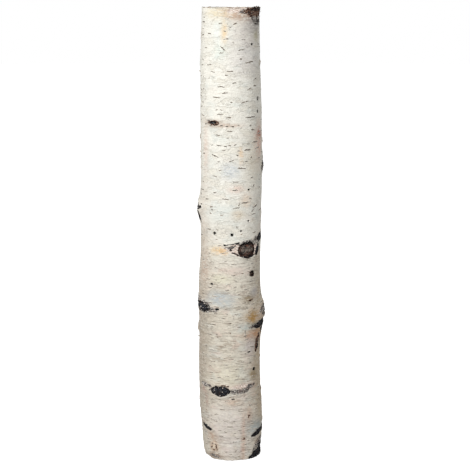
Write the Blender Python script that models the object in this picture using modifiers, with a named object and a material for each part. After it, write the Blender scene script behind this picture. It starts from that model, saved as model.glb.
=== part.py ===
"""A short birch pole, sawn square at both ends, that stands on its lower cut.

It is one solid piece of wood in its bark. The stem is a cylinder, moved ring by ring to the swell and
lean of the trunk, with a bulge where each lost branch left its scar.

Metres, +Z up along the stem. The origin is the middle of the lower cut. A bearing is an angle round
the stem: 0 faces the front, which is -Y, and 90 faces +X.
"""

import math
from collections import namedtuple

import bmesh
import bpy

NAME = "birch_stick"

# Driving dimensions.
LENGTH = 0.610
FACETS = 48
RING_GAP = 0.010
SCAR_RING_GAP = 0.0055
RIM_RING_GAP = 0.003
RIM_CHAMFER = 0.0006
OVALITY = 0.012
OVAL_BEARING = 70
BIG_SWELL = 0.002

# The stem's girth and lean, from the lower cut to the upper one.
Station = namedtuple("Station", "height radius lean_x lean_y")
STATIONS = (
    Station(0.000, 0.0392, 0.0000, 0.0000),
    Station(0.030, 0.0405, -0.0004, 0.0003),
    Station(0.060, 0.0422, -0.0008, 0.0006),
    Station(0.120, 0.0417, -0.0036, 0.0012),
    Station(0.180, 0.0418, -0.0032, 0.0016),
    Station(0.245, 0.0417, -0.0034, 0.0018),
    Station(0.285, 0.0404, -0.0022, 0.0014),
    Station(0.340, 0.0409, -0.0012, 0.0006),
    Station(0.420, 0.0410, -0.0010, -0.0004),
    Station(0.500, 0.0406, -0.0016, -0.0010),
    Station(0.560, 0.0392, -0.0022, -0.0008),
    Station(LENGTH, 0.0389, -0.0018, 0.0000),
)

# A branch scar's bulge: how far it stands out, and its reach round and up the stem.
Scar = namedtuple("Scar", "bearing height reach_round reach_up swell")
SCARS = (
    Scar(47, 0.604, 0.020, 0.010, 0.0010),
    Scar(-128, 0.540, 0.020, 0.014, 0.0030),
    Scar(172, 0.478, 0.024, 0.014, 0.0034),
    Scar(-32, 0.460, 0.014, 0.007, 0.0008),
    Scar(97, 0.405, 0.015, 0.011, 0.0026),
    Scar(-94, 0.343, 0.022, 0.014, 0.0062),
    Scar(150, 0.322, 0.020, 0.012, 0.0026),
    Scar(34, 0.289, 0.028, 0.014, 0.0024),
    Scar(-160, 0.236, 0.026, 0.014, 0.0040),
    Scar(-64, 0.212, 0.020, 0.011, 0.0018),
    Scar(88, 0.200, 0.022, 0.021, 0.0064),
    Scar(160, 0.132, 0.026, 0.013, 0.0036),
    Scar(-16, 0.099, 0.032, 0.012, 0.0022),
    Scar(-118, 0.078, 0.018, 0.010, 0.0024),
    Scar(68, 0.038, 0.022, 0.010, 0.0014),
)

# Where the bark and a sliver of wood have broken off the lower rim.
CHIP_BEARING = -74
CHIP_SPREAD = 26
CHIP_HEIGHT = 0.009
CHIP_DEPTH = 0.0050


def along_stem(height):
    """Radius and lean at a height, on a smooth curve through the stations."""
    last = len(STATIONS) - 1
    low = max(i for i in range(last) if STATIONS[i].height <= height)
    nearby = [STATIONS[min(max(i, 0), last)] for i in range(low - 1, low + 3)]
    before, start, end, after = nearby
    span = end.height - start.height
    share = (height - start.height) / span
    values = []
    for field in ("radius", "lean_x", "lean_y"):
        p0, p1, p2, p3 = (getattr(station, field) for station in (before, start, end, after))
        slope_1 = (p2 - p0) / max(end.height - before.height, span) * span
        slope_2 = (p3 - p1) / max(after.height - start.height, span) * span
        s2, s3 = share**2, share**3
        values.append(
            (2 * s3 - 3 * s2 + 1) * p1
            + (s3 - 2 * s2 + share) * slope_1
            + (3 * s2 - 2 * s3) * p2
            + (s3 - s2) * slope_2
        )
    return values


def turn_between(bearing, other):
    """The smaller angle from one bearing to another, in degrees."""
    return (other - bearing + 180) % 360 - 180


def scar_swell(bearing, height, radius):
    """How far the branch scars push the bark out at one place."""
    total = 0.0
    for scar in SCARS:
        sideways = math.radians(turn_between(scar.bearing, bearing)) * radius / scar.reach_round
        upwards = (height - scar.height) / scar.reach_up
        total += scar.swell * math.exp(-(sideways**2) - upwards**2)
    return total


def rim_chip(bearing, height):
    """How far the broken patch of the lower rim lies inside the stem."""
    sideways = turn_between(CHIP_BEARING, bearing) / CHIP_SPREAD
    upwards = max(0.0, 1 - height / CHIP_HEIGHT)
    return CHIP_DEPTH * math.exp(-(sideways**2)) * upwards**1.4


def bark_point(bearing, height):
    """The place on the bark at a bearing in degrees and a height."""
    radius, lean_x, lean_y = along_stem(height)
    oval = 1 + OVALITY * math.cos(math.radians(2 * (bearing - OVAL_BEARING)))
    out = radius * oval + scar_swell(bearing, height, radius) - rim_chip(bearing, height)
    angle = math.radians(bearing)
    return lean_x + out * math.sin(angle), lean_y - out * math.cos(angle), height


def ring_heights():
    """Heights of the rings, closer together at the broken rim and across the big branch scars."""
    big_scars = [scar for scar in SCARS if scar.swell > BIG_SWELL]
    heights = [0.0]
    while heights[-1] < LENGTH:
        here = heights[-1]
        gap = RING_GAP
        if here < CHIP_HEIGHT:
            gap = RIM_RING_GAP
        elif any(abs(here - scar.height) < scar.reach_up for scar in big_scars):
            gap = SCAR_RING_GAP
        heights.append(here + gap)
    stretch = LENGTH / heights[-1]
    return [height * stretch for height in heights]


def stem_mesh():
    """The stem as a capped cylinder, cut into rings and moved to the shape of the trunk."""
    heights = ring_heights()
    gaps = len(heights) - 1
    stem = bmesh.new()
    bmesh.ops.create_cone(
        stem, cap_ends=True, segments=FACETS, radius1=1.0, radius2=1.0, depth=float(gaps)
    )
    upright = [edge for edge in stem.edges if abs(edge.verts[0].co.z - edge.verts[1].co.z) > 0.5]
    bmesh.ops.subdivide_edges(stem, edges=upright, cuts=gaps - 1)
    for vertex in stem.verts:
        ring = round(vertex.co.z + gaps / 2)
        bearing = math.degrees(math.atan2(vertex.co.x, -vertex.co.y))
        vertex.co = bark_point(bearing, heights[ring])
    bmesh.ops.recalc_face_normals(stem, faces=stem.faces)
    mesh = bpy.data.meshes.new(NAME)
    stem.to_mesh(mesh)
    stem.free()
    mesh.shade_smooth()
    mesh.set_sharp_from_angle(angle=math.radians(40))
    return mesh


def bark_material():
    """Matt, creamy white birch bark."""
    material = bpy.data.materials.new("birch_bark")
    material.use_nodes = True
    shader = material.node_tree.nodes["Principled BSDF"]
    shader.inputs["Base Color"].default_value = (0.74, 0.70, 0.61, 1.0)
    shader.inputs["Roughness"].default_value = 0.75
    shader.inputs["Metallic"].default_value = 0.0
    return material


def chamfer_rims(stick):
    """A slight chamfer round both saw cuts."""
    chamfer = stick.modifiers.new("rim_chamfer", "BEVEL")
    chamfer.limit_method = "ANGLE"
    chamfer.angle_limit = math.radians(50)
    chamfer.width = RIM_CHAMFER
    chamfer.segments = 1


def clear_scene():
    for obj in list(bpy.data.objects):
        bpy.data.objects.remove(obj)


def main():
    clear_scene()
    collection = bpy.data.collections.new(NAME)
    bpy.context.scene.collection.children.link(collection)
    stick = bpy.data.objects.new(NAME, stem_mesh())
    stick.data.materials.append(bark_material())
    chamfer_rims(stick)
    collection.objects.link(stick)


main()
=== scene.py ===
"""The looks of a birch pole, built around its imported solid.

Run this file as a script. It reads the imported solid, makes the bark, the lenticels, the crust and the peeling
paper with one operator each, and sets up a plain pale stage.

Metres, +Z up along the stem. A bearing is an angle round the stem in degrees: 0 faces the front, which is -Y,
and 90 faces +X. Marks in the bark are written in millimetres.
"""
import math
from collections import namedtuple
from itertools import pairwise

import bmesh
import bpy
import numpy as np
from bpy.props import FloatProperty, FloatVectorProperty, IntProperty, PointerProperty
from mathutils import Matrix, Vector, noise
from mathutils.bvhtree import BVHTree


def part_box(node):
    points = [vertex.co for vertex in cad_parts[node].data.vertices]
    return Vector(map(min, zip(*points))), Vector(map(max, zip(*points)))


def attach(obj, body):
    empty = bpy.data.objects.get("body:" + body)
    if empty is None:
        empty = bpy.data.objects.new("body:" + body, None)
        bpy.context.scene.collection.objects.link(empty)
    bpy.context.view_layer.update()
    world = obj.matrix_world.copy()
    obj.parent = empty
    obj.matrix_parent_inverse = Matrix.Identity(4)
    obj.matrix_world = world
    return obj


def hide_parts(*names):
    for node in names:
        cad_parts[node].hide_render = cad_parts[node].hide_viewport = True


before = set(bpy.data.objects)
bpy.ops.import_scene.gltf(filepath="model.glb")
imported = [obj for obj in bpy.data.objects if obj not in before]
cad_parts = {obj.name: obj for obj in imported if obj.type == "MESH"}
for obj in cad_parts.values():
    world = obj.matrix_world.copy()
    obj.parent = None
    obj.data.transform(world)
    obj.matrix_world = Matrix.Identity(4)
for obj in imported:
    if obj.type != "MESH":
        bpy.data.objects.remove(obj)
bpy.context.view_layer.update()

bl_info = {
    "name": "Birch Pole",
    "version": (1, 0, 0),
    "blender": (4, 5, 0),
    "location": "View3D > Sidebar > Birch Pole",
    "description": "Makes a sawn birch pole with its bark, scars, lenticels and peeling paper",
    "category": "Object",
}

NODE = "birch_stick"
BODY = "root"
LOW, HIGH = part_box(NODE)
LENGTH = HIGH.z - LOW.z
MM = 0.001
MEAN_RADIUS = 0.041
DEGREE_MM = math.radians(1) * MEAN_RADIUS / MM

# The plain cage of the stem, before it is refined round its marks.
COLUMNS = 92
ROWS = 540
CAP_RINGS = (0.992, 0.975, 0.955, 0.93, 0.90, 0.86, 0.81, 0.75, 0.68, 0.60, 0.51, 0.41, 0.30, 0.19, 0.09)
# The bark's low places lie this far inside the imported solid, whose lips and collars stand out to it.
BARK_SET_BACK_MM = -0.35

# A mark is a lens or an oval. left, right, up and down are how far it reaches, turn tips it up to the right,
# and bend lifts its ends.
Mark = namedtuple("Mark", "kind bearing height left right up down turn bend", defaults=(0, 0))
FRONT_MARKS = (
    # The big eye: the hollow, the knot in it, its dark lids and the brow that climbs round to the right.
    Mark("inner", 31, 290, 33, 24, 9.5, 10, 0, 0.003),
    Mark("heart", 32, 290.6, 14.5, 13, 10.4, 10.6, 4),
    Mark("crackle", 34, 301.4, 21, 17, 1.9, 2.8, 3, -0.004),
    Mark("crust", 26, 299.4, 11, 12, 1.2, 3.2, 8, -0.01),
    Mark("crust", 36, 280.6, 13, 14, 1.4, 2.0, 6, 0.012),
    Mark("crust", 58, 289, 3.4, 4.4, 10, 9, -24),
    Mark("crackle", 62, 302.5, 13, 18, 5.4, 4.8, 10),
    Mark("crust", 76, 305, 13, 15, 6.0, 4.6, 12),
    Mark("crackle", -4, 294.4, 7, 8, 2.0, 3.4, 8),
    Mark("crust", 6, 299.2, 14, 10, 0.7, 0.6, 12),
    Mark("crust", 3, 286.4, 9, 12, 0.8, 0.8, -24),
    Mark("crust", -2, 290.6, 1.6, 1.6, 1.7, 1.7),
    # The crust at the left edge.
    Mark("crackle", -64, 212, 24, 20, 9, 9, -8),
    Mark("crust", -64, 211, 15, 14, 7.0, 6.8, -6),
    Mark("crackle", -42, 208.5, 9, 11, 3.4, 3.4, -6),
    Mark("crust", -29, 209.5, 3, 3.6, 1.2, 1.2, -8),
    Mark("crackle", -76, 219, 11, 9, 4.0, 3.2, -24),
    # The knob on the right, its cracked crown and the streaks below it.
    Mark("crackle", 84, 203.5, 14, 24, 9, 8),
    Mark("crust", 93, 206, 9, 20, 7, 9, 8, -0.012),
    Mark("heart", 97, 202, 7, 8, 5.4, 5.0),
    Mark("crust", 100, 190, 18, 13, 3.4, 4.0, -10),
    Mark("crust", 70, 187, 16, 20, 5.2, 6.0, 14),
    Mark("crackle", 54, 185, 12, 12, 3.4, 2.8, 10),
    Mark("crust", 80, 177, 5, 9, 8, 8, 40),
    Mark("fibre", 62, 162, 15, 15, 5.0, 4.6, 68),
    Mark("crust", 63, 158, 9, 9, 2.2, 2.2, 68),
    Mark("fibre", 41, 221.5, 4.4, 4.6, 1.1, 1.5, 12),
    # The long black lens low on the front.
    Mark("crust", -22, 98.5, 14.5, 14.5, 6.8, 8.6, -2),
    Mark("fibre", -20, 105.6, 9, 10, 1.2, 1.2, -3, -0.006),
    Mark("crackle", -55, 103.5, 13, 12, 2.8, 2.6, -4),
    Mark("crackle", 14, 97.5, 15, 16, 3.8, 4.4, 2),
    Mark("crackle", 40, 103, 9, 8, 3.2, 2.6, 12),
    Mark("inner", 18, 104, 14, 18, 2.0, 2.4, 6),
    Mark("crust", 1, 86.8, 2.4, 4.2, 0.9, 0.9, -4),
    # The short wedges near the foot and the black corner on the right.
    Mark("crust", -57, 44, 12, 12, 2.6, 3.4, -16),
    Mark("crust", 63, 37, 18, 17, 4.2, 3.8, 16),
    Mark("crust", 84, 43, 12, 16, 5.2, 6.0, 16),
    Mark("fibre", 33, 60, 3, 3, 1.2, 1.0, 70),
    Mark("fibre", 24, 30, 1.8, 1.6, 1.2, 1.1),
    Mark("fibre", -44, 19, 4.4, 4.4, 0.7, 0.7, 75),
    Mark("fibre", -33, 17, 4.6, 4.6, 0.8, 0.8, 105),
    Mark("fibre", -38, 13, 3.6, 3.4, 0.8, 0.8, 0, 0.05),
    Mark("crust", 52, 3, 18, 22, 7.5, 12, 32),
    Mark("crust", 80, 11, 15, 15, 13, 14, 10),
    Mark("crackle", 63, 17, 16, 18, 9.5, 8, 34),
    Mark("crackle", -36, 4.5, 10, 10, 1.8, 1.8, -3),
    # The small scar high on the left with its tail, the side knobs and the torn rim.
    Mark("fibre", -36, 459.8, 9.5, 10, 3.6, 4.0, -6),
    Mark("crust", -37, 460.2, 6.0, 6.6, 2.1, 2.6, -7),
    Mark("crackle", -46, 462, 7, 7, 1.4, 1.4, 6),
    Mark("crust", 90, 409, 9, 15, 7, 8, 0, -0.012),
    Mark("heart", 98, 404, 5, 5, 4.0, 4.0),
    Mark("crackle", 118, 399, 12, 12, 2.0, 2.2, -16),
    Mark("crackle", 82, 400, 8, 8, 7, 8),
    Mark("crust", -92, 348, 13, 13, 4.6, 6.5, -6, -0.02),
    Mark("heart", -95, 345, 6, 6, 4.6, 4.4),
    Mark("crust", -84, 335, 6, 9, 5, 4.6, -50),
    Mark("crust", -73, 345.5, 3.4, 2.6, 2.4, 2.6),
    Mark("crackle", -112, 340, 11, 12, 2.2, 2.6, 18),
    Mark("crackle", -82, 330, 8, 8, 3.2, 3.4, -40),
    Mark("inner", 20, 606, 24, 30, 6, 3.4, 0, -0.004),
    Mark("fibre", 58, 605, 25, 30, 8, 7.5, 4),
    Mark("crust", 58, 607.5, 12, 18, 4, 2.2, 4),
    Mark("crackle", 58, 595, 12, 14, 5, 8, -16),
    Mark("crackle", 34, 603, 14, 12, 3.4, 2.6, 0),
    # The rough dot right of the middle.
    Mark("heart", 45, 257, 4.8, 4.8, 4.4, 4.6),
)
# Round holes of wood borers and short nicks, which the bark material paints near-black as shade inside them:
# bearing, height, half width and half height.
HOLES = (
    (-36, 312.5, 2.1, 2.0), (0, 311, 2.0, 2.1), (-41, 243.5, 2.2, 1.4), (59, 491, 2.3, 2.9),
    (58, 474, 1.9, 2.3), (43, 562, 2.1, 1.5), (52, 125, 3.4, 2.4), (37, 150, 2.9, 1.0), (34, 371, 1.9, 1.2),
    (-3, 178, 1.5, 1.0), (-15, 297, 1.4, 1.2), (34, 329, 1.5, 1.3), (18, 316, 1.3, 1.2),
    (152, 420, 1.7, 1.8), (-142, 402, 1.5, 1.6),
    (128, 262, 1.8, 1.7), (-110, 168, 1.6, 1.7), (176, 208, 1.7, 1.6), (-171, 556, 1.4, 1.5),
)
# Branch scars on the sides that face away: bearing, height and size, where 1 is about 40 mm wide.
FAR_SCARS = (
    (-128, 540, 0.8), (172, 478, 1.0), (150, 322, 0.85), (-160, 236, 1.15), (160, 132, 1.1), (-118, 78, 0.7),
)
# Soft washes of colour: bearing, height, half width, half height, linear colour and strength.
WASHES = (
    # Large soft shifts of tone, then the stains inside them.
    (-74, 150, 19, 120, (0.36, 0.30, 0.23), 0.75), (68, 140, 12, 120, (0.44, 0.33, 0.20), 0.7),
    (-66, 300, 8, 60, (0.62, 0.50, 0.40), 0.4), (46, 412, 15, 30, (0.70, 0.61, 0.47), 0.5),
    (-57, 425, 4, 26, (0.74, 0.54, 0.44), 0.5), (-4, 40, 26, 36, (0.74, 0.67, 0.65), 0.5),
    (-36, 459, 13, 4.5, (0.34, 0.22, 0.14), 0.6), (-6, 456, 15, 2.4, (0.52, 0.34, 0.24), 0.6),
    (-20, 580, 10, 16, (0.72, 0.81, 0.79), 0.5), (-24, 552, 8, 8, (0.70, 0.80, 0.74), 0.5),
    (28, 575, 18, 18, (0.60, 0.55, 0.52), 0.6), (30, 540, 20, 16, (0.64, 0.60, 0.59), 0.5),
    (-28, 289, 10, 4.4, (0.84, 0.60, 0.32), 0.8), (-15, 289, 5, 4, (0.80, 0.52, 0.28), 0.65),
    (-25, 224, 14, 8, (0.45, 0.50, 0.53), 0.8), (-8, 220, 9, 7, (0.54, 0.57, 0.56), 0.6),
    (-3, 396, 11, 9, (0.58, 0.62, 0.65), 0.7), (-16, 338, 18, 10, (0.62, 0.68, 0.65), 0.5),
    (11, 338, 7, 6, (0.70, 0.55, 0.38), 0.5), (29, 357, 6, 8, (0.78, 0.50, 0.30), 0.4),
    (17, 417, 2.6, 9, (0.76, 0.50, 0.26), 0.6), (8, 372, 8, 4, (0.76, 0.48, 0.38), 0.5),
    (63, 436, 7, 18, (0.70, 0.38, 0.28), 0.6), (64, 445, 6, 3.5, (0.36, 0.09, 0.05), 0.95),
    (-15, 578, 4, 12, (0.78, 0.56, 0.30), 0.75), (-2, 602, 18, 6, (0.60, 0.39, 0.24), 0.7),
    (-34, 602, 14, 6, (0.80, 0.70, 0.48), 0.6), (30, 600, 16, 7, (0.42, 0.25, 0.16), 0.75),
    (58, 573, 5, 6, (0.34, 0.30, 0.13), 0.65), (56, 590, 14, 9, (0.30, 0.27, 0.26), 0.75),
    (46, 197, 10, 8, (0.38, 0.21, 0.05), 0.95), (36, 223, 8, 4, (0.26, 0.18, 0.09), 0.85),
    (52, 232, 6, 5, (0.50, 0.49, 0.52), 0.6), (52, 174, 14, 7, (0.58, 0.28, 0.12), 0.75),
    (22, 184, 9, 5, (0.58, 0.66, 0.63), 0.6), (41, 158, 9, 11, (0.56, 0.49, 0.50), 0.55),
    (72, 202, 8, 9, (0.62, 0.48, 0.40), 0.5), (53, 185, 12, 4, (0.20, 0.24, 0.22), 0.7),
    (49, 118, 6, 5, (0.24, 0.15, 0.04), 0.8), (3, 82, 8, 3.5, (0.66, 0.44, 0.30), 0.5),
    (-61, 97, 3, 4, (0.34, 0.12, 0.08), 0.6), (-53, 84, 1.4, 9, (0.36, 0.15, 0.10), 0.6),
    (-44, 33, 7, 5, (0.40, 0.22, 0.12), 0.6), (23, 30, 2.4, 32, (0.60, 0.36, 0.25), 0.6),
    (36, 64, 4, 12, (0.46, 0.28, 0.18), 0.55), (24, 103, 16, 4, (0.66, 0.42, 0.38), 0.5),
    (-38, 18, 6, 7, (0.52, 0.32, 0.17), 0.75), (-38, 19, 3.0, 4, (0.74, 0.62, 0.48), 0.9),
    (-37, 5, 13, 3, (0.22, 0.12, 0.07), 0.75), (54, 44, 14, 9, (0.36, 0.41, 0.41), 0.8),
    (-6, 118, 16, 14, (0.74, 0.70, 0.52), 0.4), (4, 262, 16, 5, (0.72, 0.54, 0.48), 0.45),
    (-22, 252, 12, 5, (0.74, 0.72, 0.52), 0.5), (-60, 262, 8, 14, (0.56, 0.42, 0.33), 0.5),
    (120, 300, 20, 40, (0.60, 0.44, 0.30), 0.45), (-140, 300, 24, 50, (0.60, 0.50, 0.40), 0.45),
    (170, 400, 18, 16, (0.50, 0.55, 0.56), 0.6), (-150, 120, 26, 30, (0.48, 0.38, 0.28), 0.5),
    (140, 560, 18, 14, (0.56, 0.60, 0.58), 0.5), (165, 60, 22, 24, (0.44, 0.38, 0.30), 0.55),
    (-110, 440, 14, 26, (0.70, 0.56, 0.42), 0.5), (110, 120, 14, 30, (0.46, 0.38, 0.28), 0.5),
)
# The lenticels that stand out most, and the nicks and scratches like them: bearing, height, length,
# and the slope
# where it is not nearly level. The rest are scattered between them.
CLEAR_LENTICELS = (
    (-23, 589, 7), (6, 589, 7, 22), (-3, 584, 4, 40), (-14, 579, 5), (-11, 569, 8), (23, 568, 6), (2, 565, 4),
    (-47, 576, 7), (19, 555, 12, 12), (-20, 551, 7), (-18, 557, 11, -42), (17, 543, 4), (36, 539, 16, 8),
    (-63, 519, 4, 70), (-46, 518, 3, 60), (-37, 526, 9, -16), (-4, 527, 12), (51, 517, 6, 30), (5, 512, 7),
    (-20, 507, 12), (34, 504, 9, 24), (-13, 499, 9, 8), (-29, 493, 13, -4), (-1, 487, 4), (24, 487, 13, 14),
    (-29, 477, 4), (-20, 477, 4), (-22, 471, 12, 4), (-6, 467, 8), (37, 467, 21, 3), (36, 456, 4),
    (-19, 456.5, 4), (-9, 455.6, 5), (1, 455, 6), (12, 457, 4), (-4, 449, 9, -6), (-8, 440, 4), (-62, 449, 4),
    (63, 445, 7, 20), (66, 438, 5, 50), (-26, 430, 9, -12), (-39, 430, 4), (-4, 430, 4), (-12, 429, 5),
    (6, 431, 5, 20), (32, 432, 6), (49, 434, 12), (-15, 424, 7), (12, 423, 5), (30, 424, 12),
    (-33, 416, 13, -18),
    (10, 417, 4), (38, 414, 4, 30), (-1, 410, 8, 22), (28, 409, 6), (-23, 397, 4), (19, 400, 14, -4),
    (-34, 389, 10), (41, 387, 6, 12), (7, 382, 10), (45, 376, 6, 40), (6, 371, 9), (34, 371, 6),
    (-34, 367, 6),
    (-13, 359, 11), (26, 354, 12, 4), (50, 348, 12, 24), (8, 347, 11), (13, 352, 6, 84), (47, 338, 10, 6),
    (44, 343, 7, 32), (-20, 337, 6), (35, 329, 3), (50, 313, 9, 10), (10, 322, 5), (18, 312, 4),
    (27, 176, 14, 90), (27, 173, 8), (-66, 138, 10, 82), (-58, 137, 10, 100), (-62, 132.5, 5),
    (-53, 84, 8, 76),
)
SLIGHT_SLOPE = 5
LENTICEL_LENGTH = (3.0, 13.0)
# Peeling strips of paper: bearing, height, length, how wide the loose part is, and the slope of the hinge.
CURLS = (
    (57, 558.5, 15, 2.6, -3), (74, 538, 9, 3.0, 80), (80, 94, 9, 3.0, 84), (45, 105, 6, 1.8, 62),
    (-63, 138, 9, 1.6, 86), (-58, 133, 6, 1.4, 170), (56, 23, 16, 2.4, 38), (60, 283, 11, 2.6, 58),
    (31, 278, 14, 1.8, 6), (-72, 219, 10, 2.2, -24), (80, 214, 8, 2.2, 50), (79, 200, 9, 2.4, 96),
    (46, 434, 10, 1.5, 12), (37, 503, 8, 1.5, 16), (47, 349, 9, 1.6, 20), (42, 338, 7, 1.4, -6),
    (-40, 246, 6, 1.3, 4), (12, 608, 12, 2.0, 2), (-28, 608.4, 20, 1.6, -1), (44, 330, 6, 1.2, 40),
)
FAR_CURLS = 30
CURL_THICKNESS = 0.18 * MM
# Cracks in the sawn ends: bearing, where they start and end from pith to bark, and half width in millimetres.
DRYING_CRACKS = ((24, 0.0, 0.80, 0.42), (98, 0.02, 0.50, 0.30), (163, 0.05, 0.93, 0.36),
                 (-131, 0.0, 0.62, 0.34),
                 (-62, 0.10, 0.42, 0.24), (-20, 0.62, 0.95, 0.22), (128, 0.70, 0.96, 0.22),
                 (-168, 0.72, 0.93, 0.20))
SEED = 11


def outward(bearing):
    """The level direction that a bearing faces."""
    angle = math.radians(bearing)
    return Vector((math.sin(angle), -math.cos(angle), 0))


def turn_between(bearing, other):
    """Degrees from one bearing round to the other, from -180 to 180."""
    return (np.asarray(bearing) - other + 180) % 360 - 180


def smooth_step(low, high, values):
    """0 below low, 1 above high and a smooth rise between."""
    share = np.clip((values - low) / (high - low), 0, 1)
    return share * share * (3 - 2 * share)


def noise_at(places, lump, seed=0.0):
    """Smooth noise from about -1 to 1. lump is the size of its lumps in millimetres, along X, Y and Z."""
    stretched = places / (np.array(lump) * MM) + seed
    return np.array([noise.noise(place) for place in stretched.tolist()])


# ---------------------------------------------------------------------------------------------------------
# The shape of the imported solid


def smoothed(grid, rounds):
    """A grid of radii with its facets rubbed down. Bearings run round, and heights stop at the ends."""
    for _ in range(rounds):
        grid = (np.roll(grid, 1, axis=1) + 2 * grid + np.roll(grid, -1, axis=1)) / 4
        padded = np.pad(grid, ((1, 1), (0, 0)), mode="edge")
        grid = (padded[:-2] + 2 * padded[1:-1] + padded[2:]) / 4
    return grid


class PlainStem:
    """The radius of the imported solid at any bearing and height, measured by rays towards its axis."""

    BEARINGS = 180
    HEIGHTS = 400
    END_MARGIN = 0.0008
    SMOOTH_ROUNDS = 6

    def __init__(self, node):
        mesh = node.data
        tree = BVHTree.FromPolygons([v.co for v in mesh.vertices], [tuple(p.vertices) for p in mesh.polygons])
        self.bottom = LOW.z + self.END_MARGIN
        self.top = HIGH.z - self.END_MARGIN
        rows = []
        for height in np.linspace(self.bottom, self.top, self.HEIGHTS):
            ways = [outward(360 * step / self.BEARINGS) for step in range(self.BEARINGS)]
            hits = [tree.ray_cast(way * 0.2 + Vector((0, 0, height)), -way)[0] for way in ways]
            rows.append([hit.xy.length for hit in hits])
        self.radii = smoothed(np.array(rows), self.SMOOTH_ROUNDS)

    def radius(self, bearing, height):
        """Radii at arrays of bearings and heights, by straight interpolation."""
        column = np.asarray(bearing) % 360 / 360 * self.BEARINGS
        row = np.clip((np.asarray(height) - self.bottom) / (self.top - self.bottom), 0,
                      1) * (self.HEIGHTS - 1)
        left, below = column.astype(int), np.minimum(row.astype(int), self.HEIGHTS - 2)
        across, up = column - left, row - below
        right, left = (left + 1) % self.BEARINGS, left % self.BEARINGS
        lower = self.radii[below, left] * (1 - across) + self.radii[below, right] * across
        upper = self.radii[below + 1, left] * (1 - across) + self.radii[below + 1, right] * across
        return lower * (1 - up) + upper * up


PLAIN_STEM = PlainStem(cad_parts[NODE])


def side_places(bearing, radius, height):
    """Points on the stem's side, as rows of X, Y and Z."""
    angle = np.radians(bearing)
    return np.stack([np.sin(angle) * radius, -np.cos(angle) * radius, height], axis=-1)


# ---------------------------------------------------------------------------------------------------------
# The marks in the bark

ROUND_KINDS = ("heart", "hole")
KINDS = ("inner", "crackle", "crust", "fibre", "heart", "hole")
EDGE_RAGGED_MM = {"inner": 1.6, "crackle": 1.9, "crust": 1.25, "fibre": 1.8, "heart": 1.2, "hole": 0.12}


def far_scar_marks(bearing, height, size):
    """The marks of one branch scar: a knot, a black lens round it and two cracked wings that hang down."""
    return (
        Mark("crust", bearing, height, 15 * size, 14 * size, 7 * size, 7 * size, 0, -0.006),
        Mark("heart", bearing + 2, height, 6 * size, 6 * size, 4.6 * size, 4.4 * size),
        Mark("crackle", bearing - 26 * size, height - 3 * size, 14 * size, 12 * size, 2.6, 2.8, 12, -0.01),
        Mark("crackle", bearing + 26 * size, height - 3 * size, 12 * size, 14 * size, 2.6, 2.8, -12, -0.01),
        Mark("inner", bearing, height + 1, 21 * size, 20 * size, 8 * size, 5 * size, 0, -0.008),
    )


def all_marks():
    marks = list(FRONT_MARKS)
    for scar in FAR_SCARS:
        marks += far_scar_marks(*scar)
    marks += [Mark("hole", bearing, height, wide, wide, tall, tall) for bearing, height, wide, tall in HOLES]
    return marks


MARKS = all_marks()


def depth_inside(mark, bearing, height):
    """Millimetres from each point in to a mark's nearer edge, across its length. Outside is negative."""
    along = turn_between(bearing, mark.bearing) * DEGREE_MM
    up = height / MM - mark.height
    turn = math.radians(mark.turn)
    along, up = along * math.cos(turn) + up * math.sin(turn), up * math.cos(turn) - along * math.sin(turn)
    up = up - mark.bend * along**2
    reach = np.where(along < 0, -along / mark.left, along / mark.right)
    power = 0.42 if mark.kind in ROUND_KINDS else 0.8
    swell = np.clip(1 - reach**2, 0, 1) ** power
    across = np.where(up > 0, mark.up * swell - up, mark.down * swell + up)
    past_tip = np.clip(reach - 1, 0, None) * min(mark.left, mark.right)
    return across - past_tip


def mark_depths(bearing, height):
    """For each kind of mark, how deep each point lies inside the nearest one, in millimetres."""
    depths = {kind: np.full(len(bearing), -99.0) for kind in KINDS}
    for mark in MARKS:
        np.maximum(depths[mark.kind], depth_inside(mark, bearing, height), out=depths[mark.kind])
    return depths


# ---------------------------------------------------------------------------------------------------------
# The stem's mesh


def stem_cage():
    """The stem's skin as a tube of quads, closed at each end by rings and a fan. Its ring layer is 1 on the
    bark and falls to 0 at the pith."""
    bm = bmesh.new()
    ring = bm.verts.layers.float.new("ring")
    stations = [(0, share) for share in reversed(CAP_RINGS)]
    stations += [(LENGTH * row / ROWS, 1) for row in range(ROWS + 1)]
    stations += [(LENGTH, share) for share in CAP_RINGS]
    loops = []
    for height, share in stations:
        loop = []
        for column in range(COLUMNS):
            way = outward(360 * column / COLUMNS)
            loop.append(bm.verts.new(way * MEAN_RADIUS * share + Vector((0, 0, height))))
            loop[-1][ring] = share
        loops.append(loop)
    for lower, upper in pairwise(loops):
        for i in range(COLUMNS):
            bm.faces.new((lower[i - 1], lower[i], upper[i], upper[i - 1]))
    foot, head = bm.verts.new((0, 0, 0)), bm.verts.new((0, 0, LENGTH))
    for i in range(COLUMNS):
        bm.faces.new((foot, loops[0][i], loops[0][i - 1]))
        bm.faces.new((head, loops[-1][i - 1], loops[-1][i]))
    return bm


def bearings_of(places):
    return np.degrees(np.arctan2(places[:, 0], -places[:, 1]))


def wanted_level(centres):
    """How often the cage is halved at each place: once near a mark, twice near a knot or a hole, three times at
    a hole.
    """
    depths = mark_depths(bearings_of(centres), centres[:, 2])
    any_mark = np.max([depths[kind] for kind in KINDS], axis=0)
    fine = np.max([depths["heart"], depths["hole"]], axis=0)
    level = (any_mark > -1.6).astype(int)
    level += fine > -1.0
    level += depths["hole"] > -0.6
    on_side = np.hypot(centres[:, 0], centres[:, 1]) > MEAN_RADIUS * 0.97
    return np.where(on_side, level, 0)


def refine(bm):
    for level in (1, 2, 3):
        centres = np.array([face.calc_center_median() for face in bm.faces])
        picked = wanted_level(centres) >= level
        edges = dict.fromkeys(edge for face, pick in zip(bm.faces, picked) if pick for edge in face.edges)
        bmesh.ops.subdivide_edges(bm, edges=list(edges), cuts=1, use_grid_fill=True)


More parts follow.
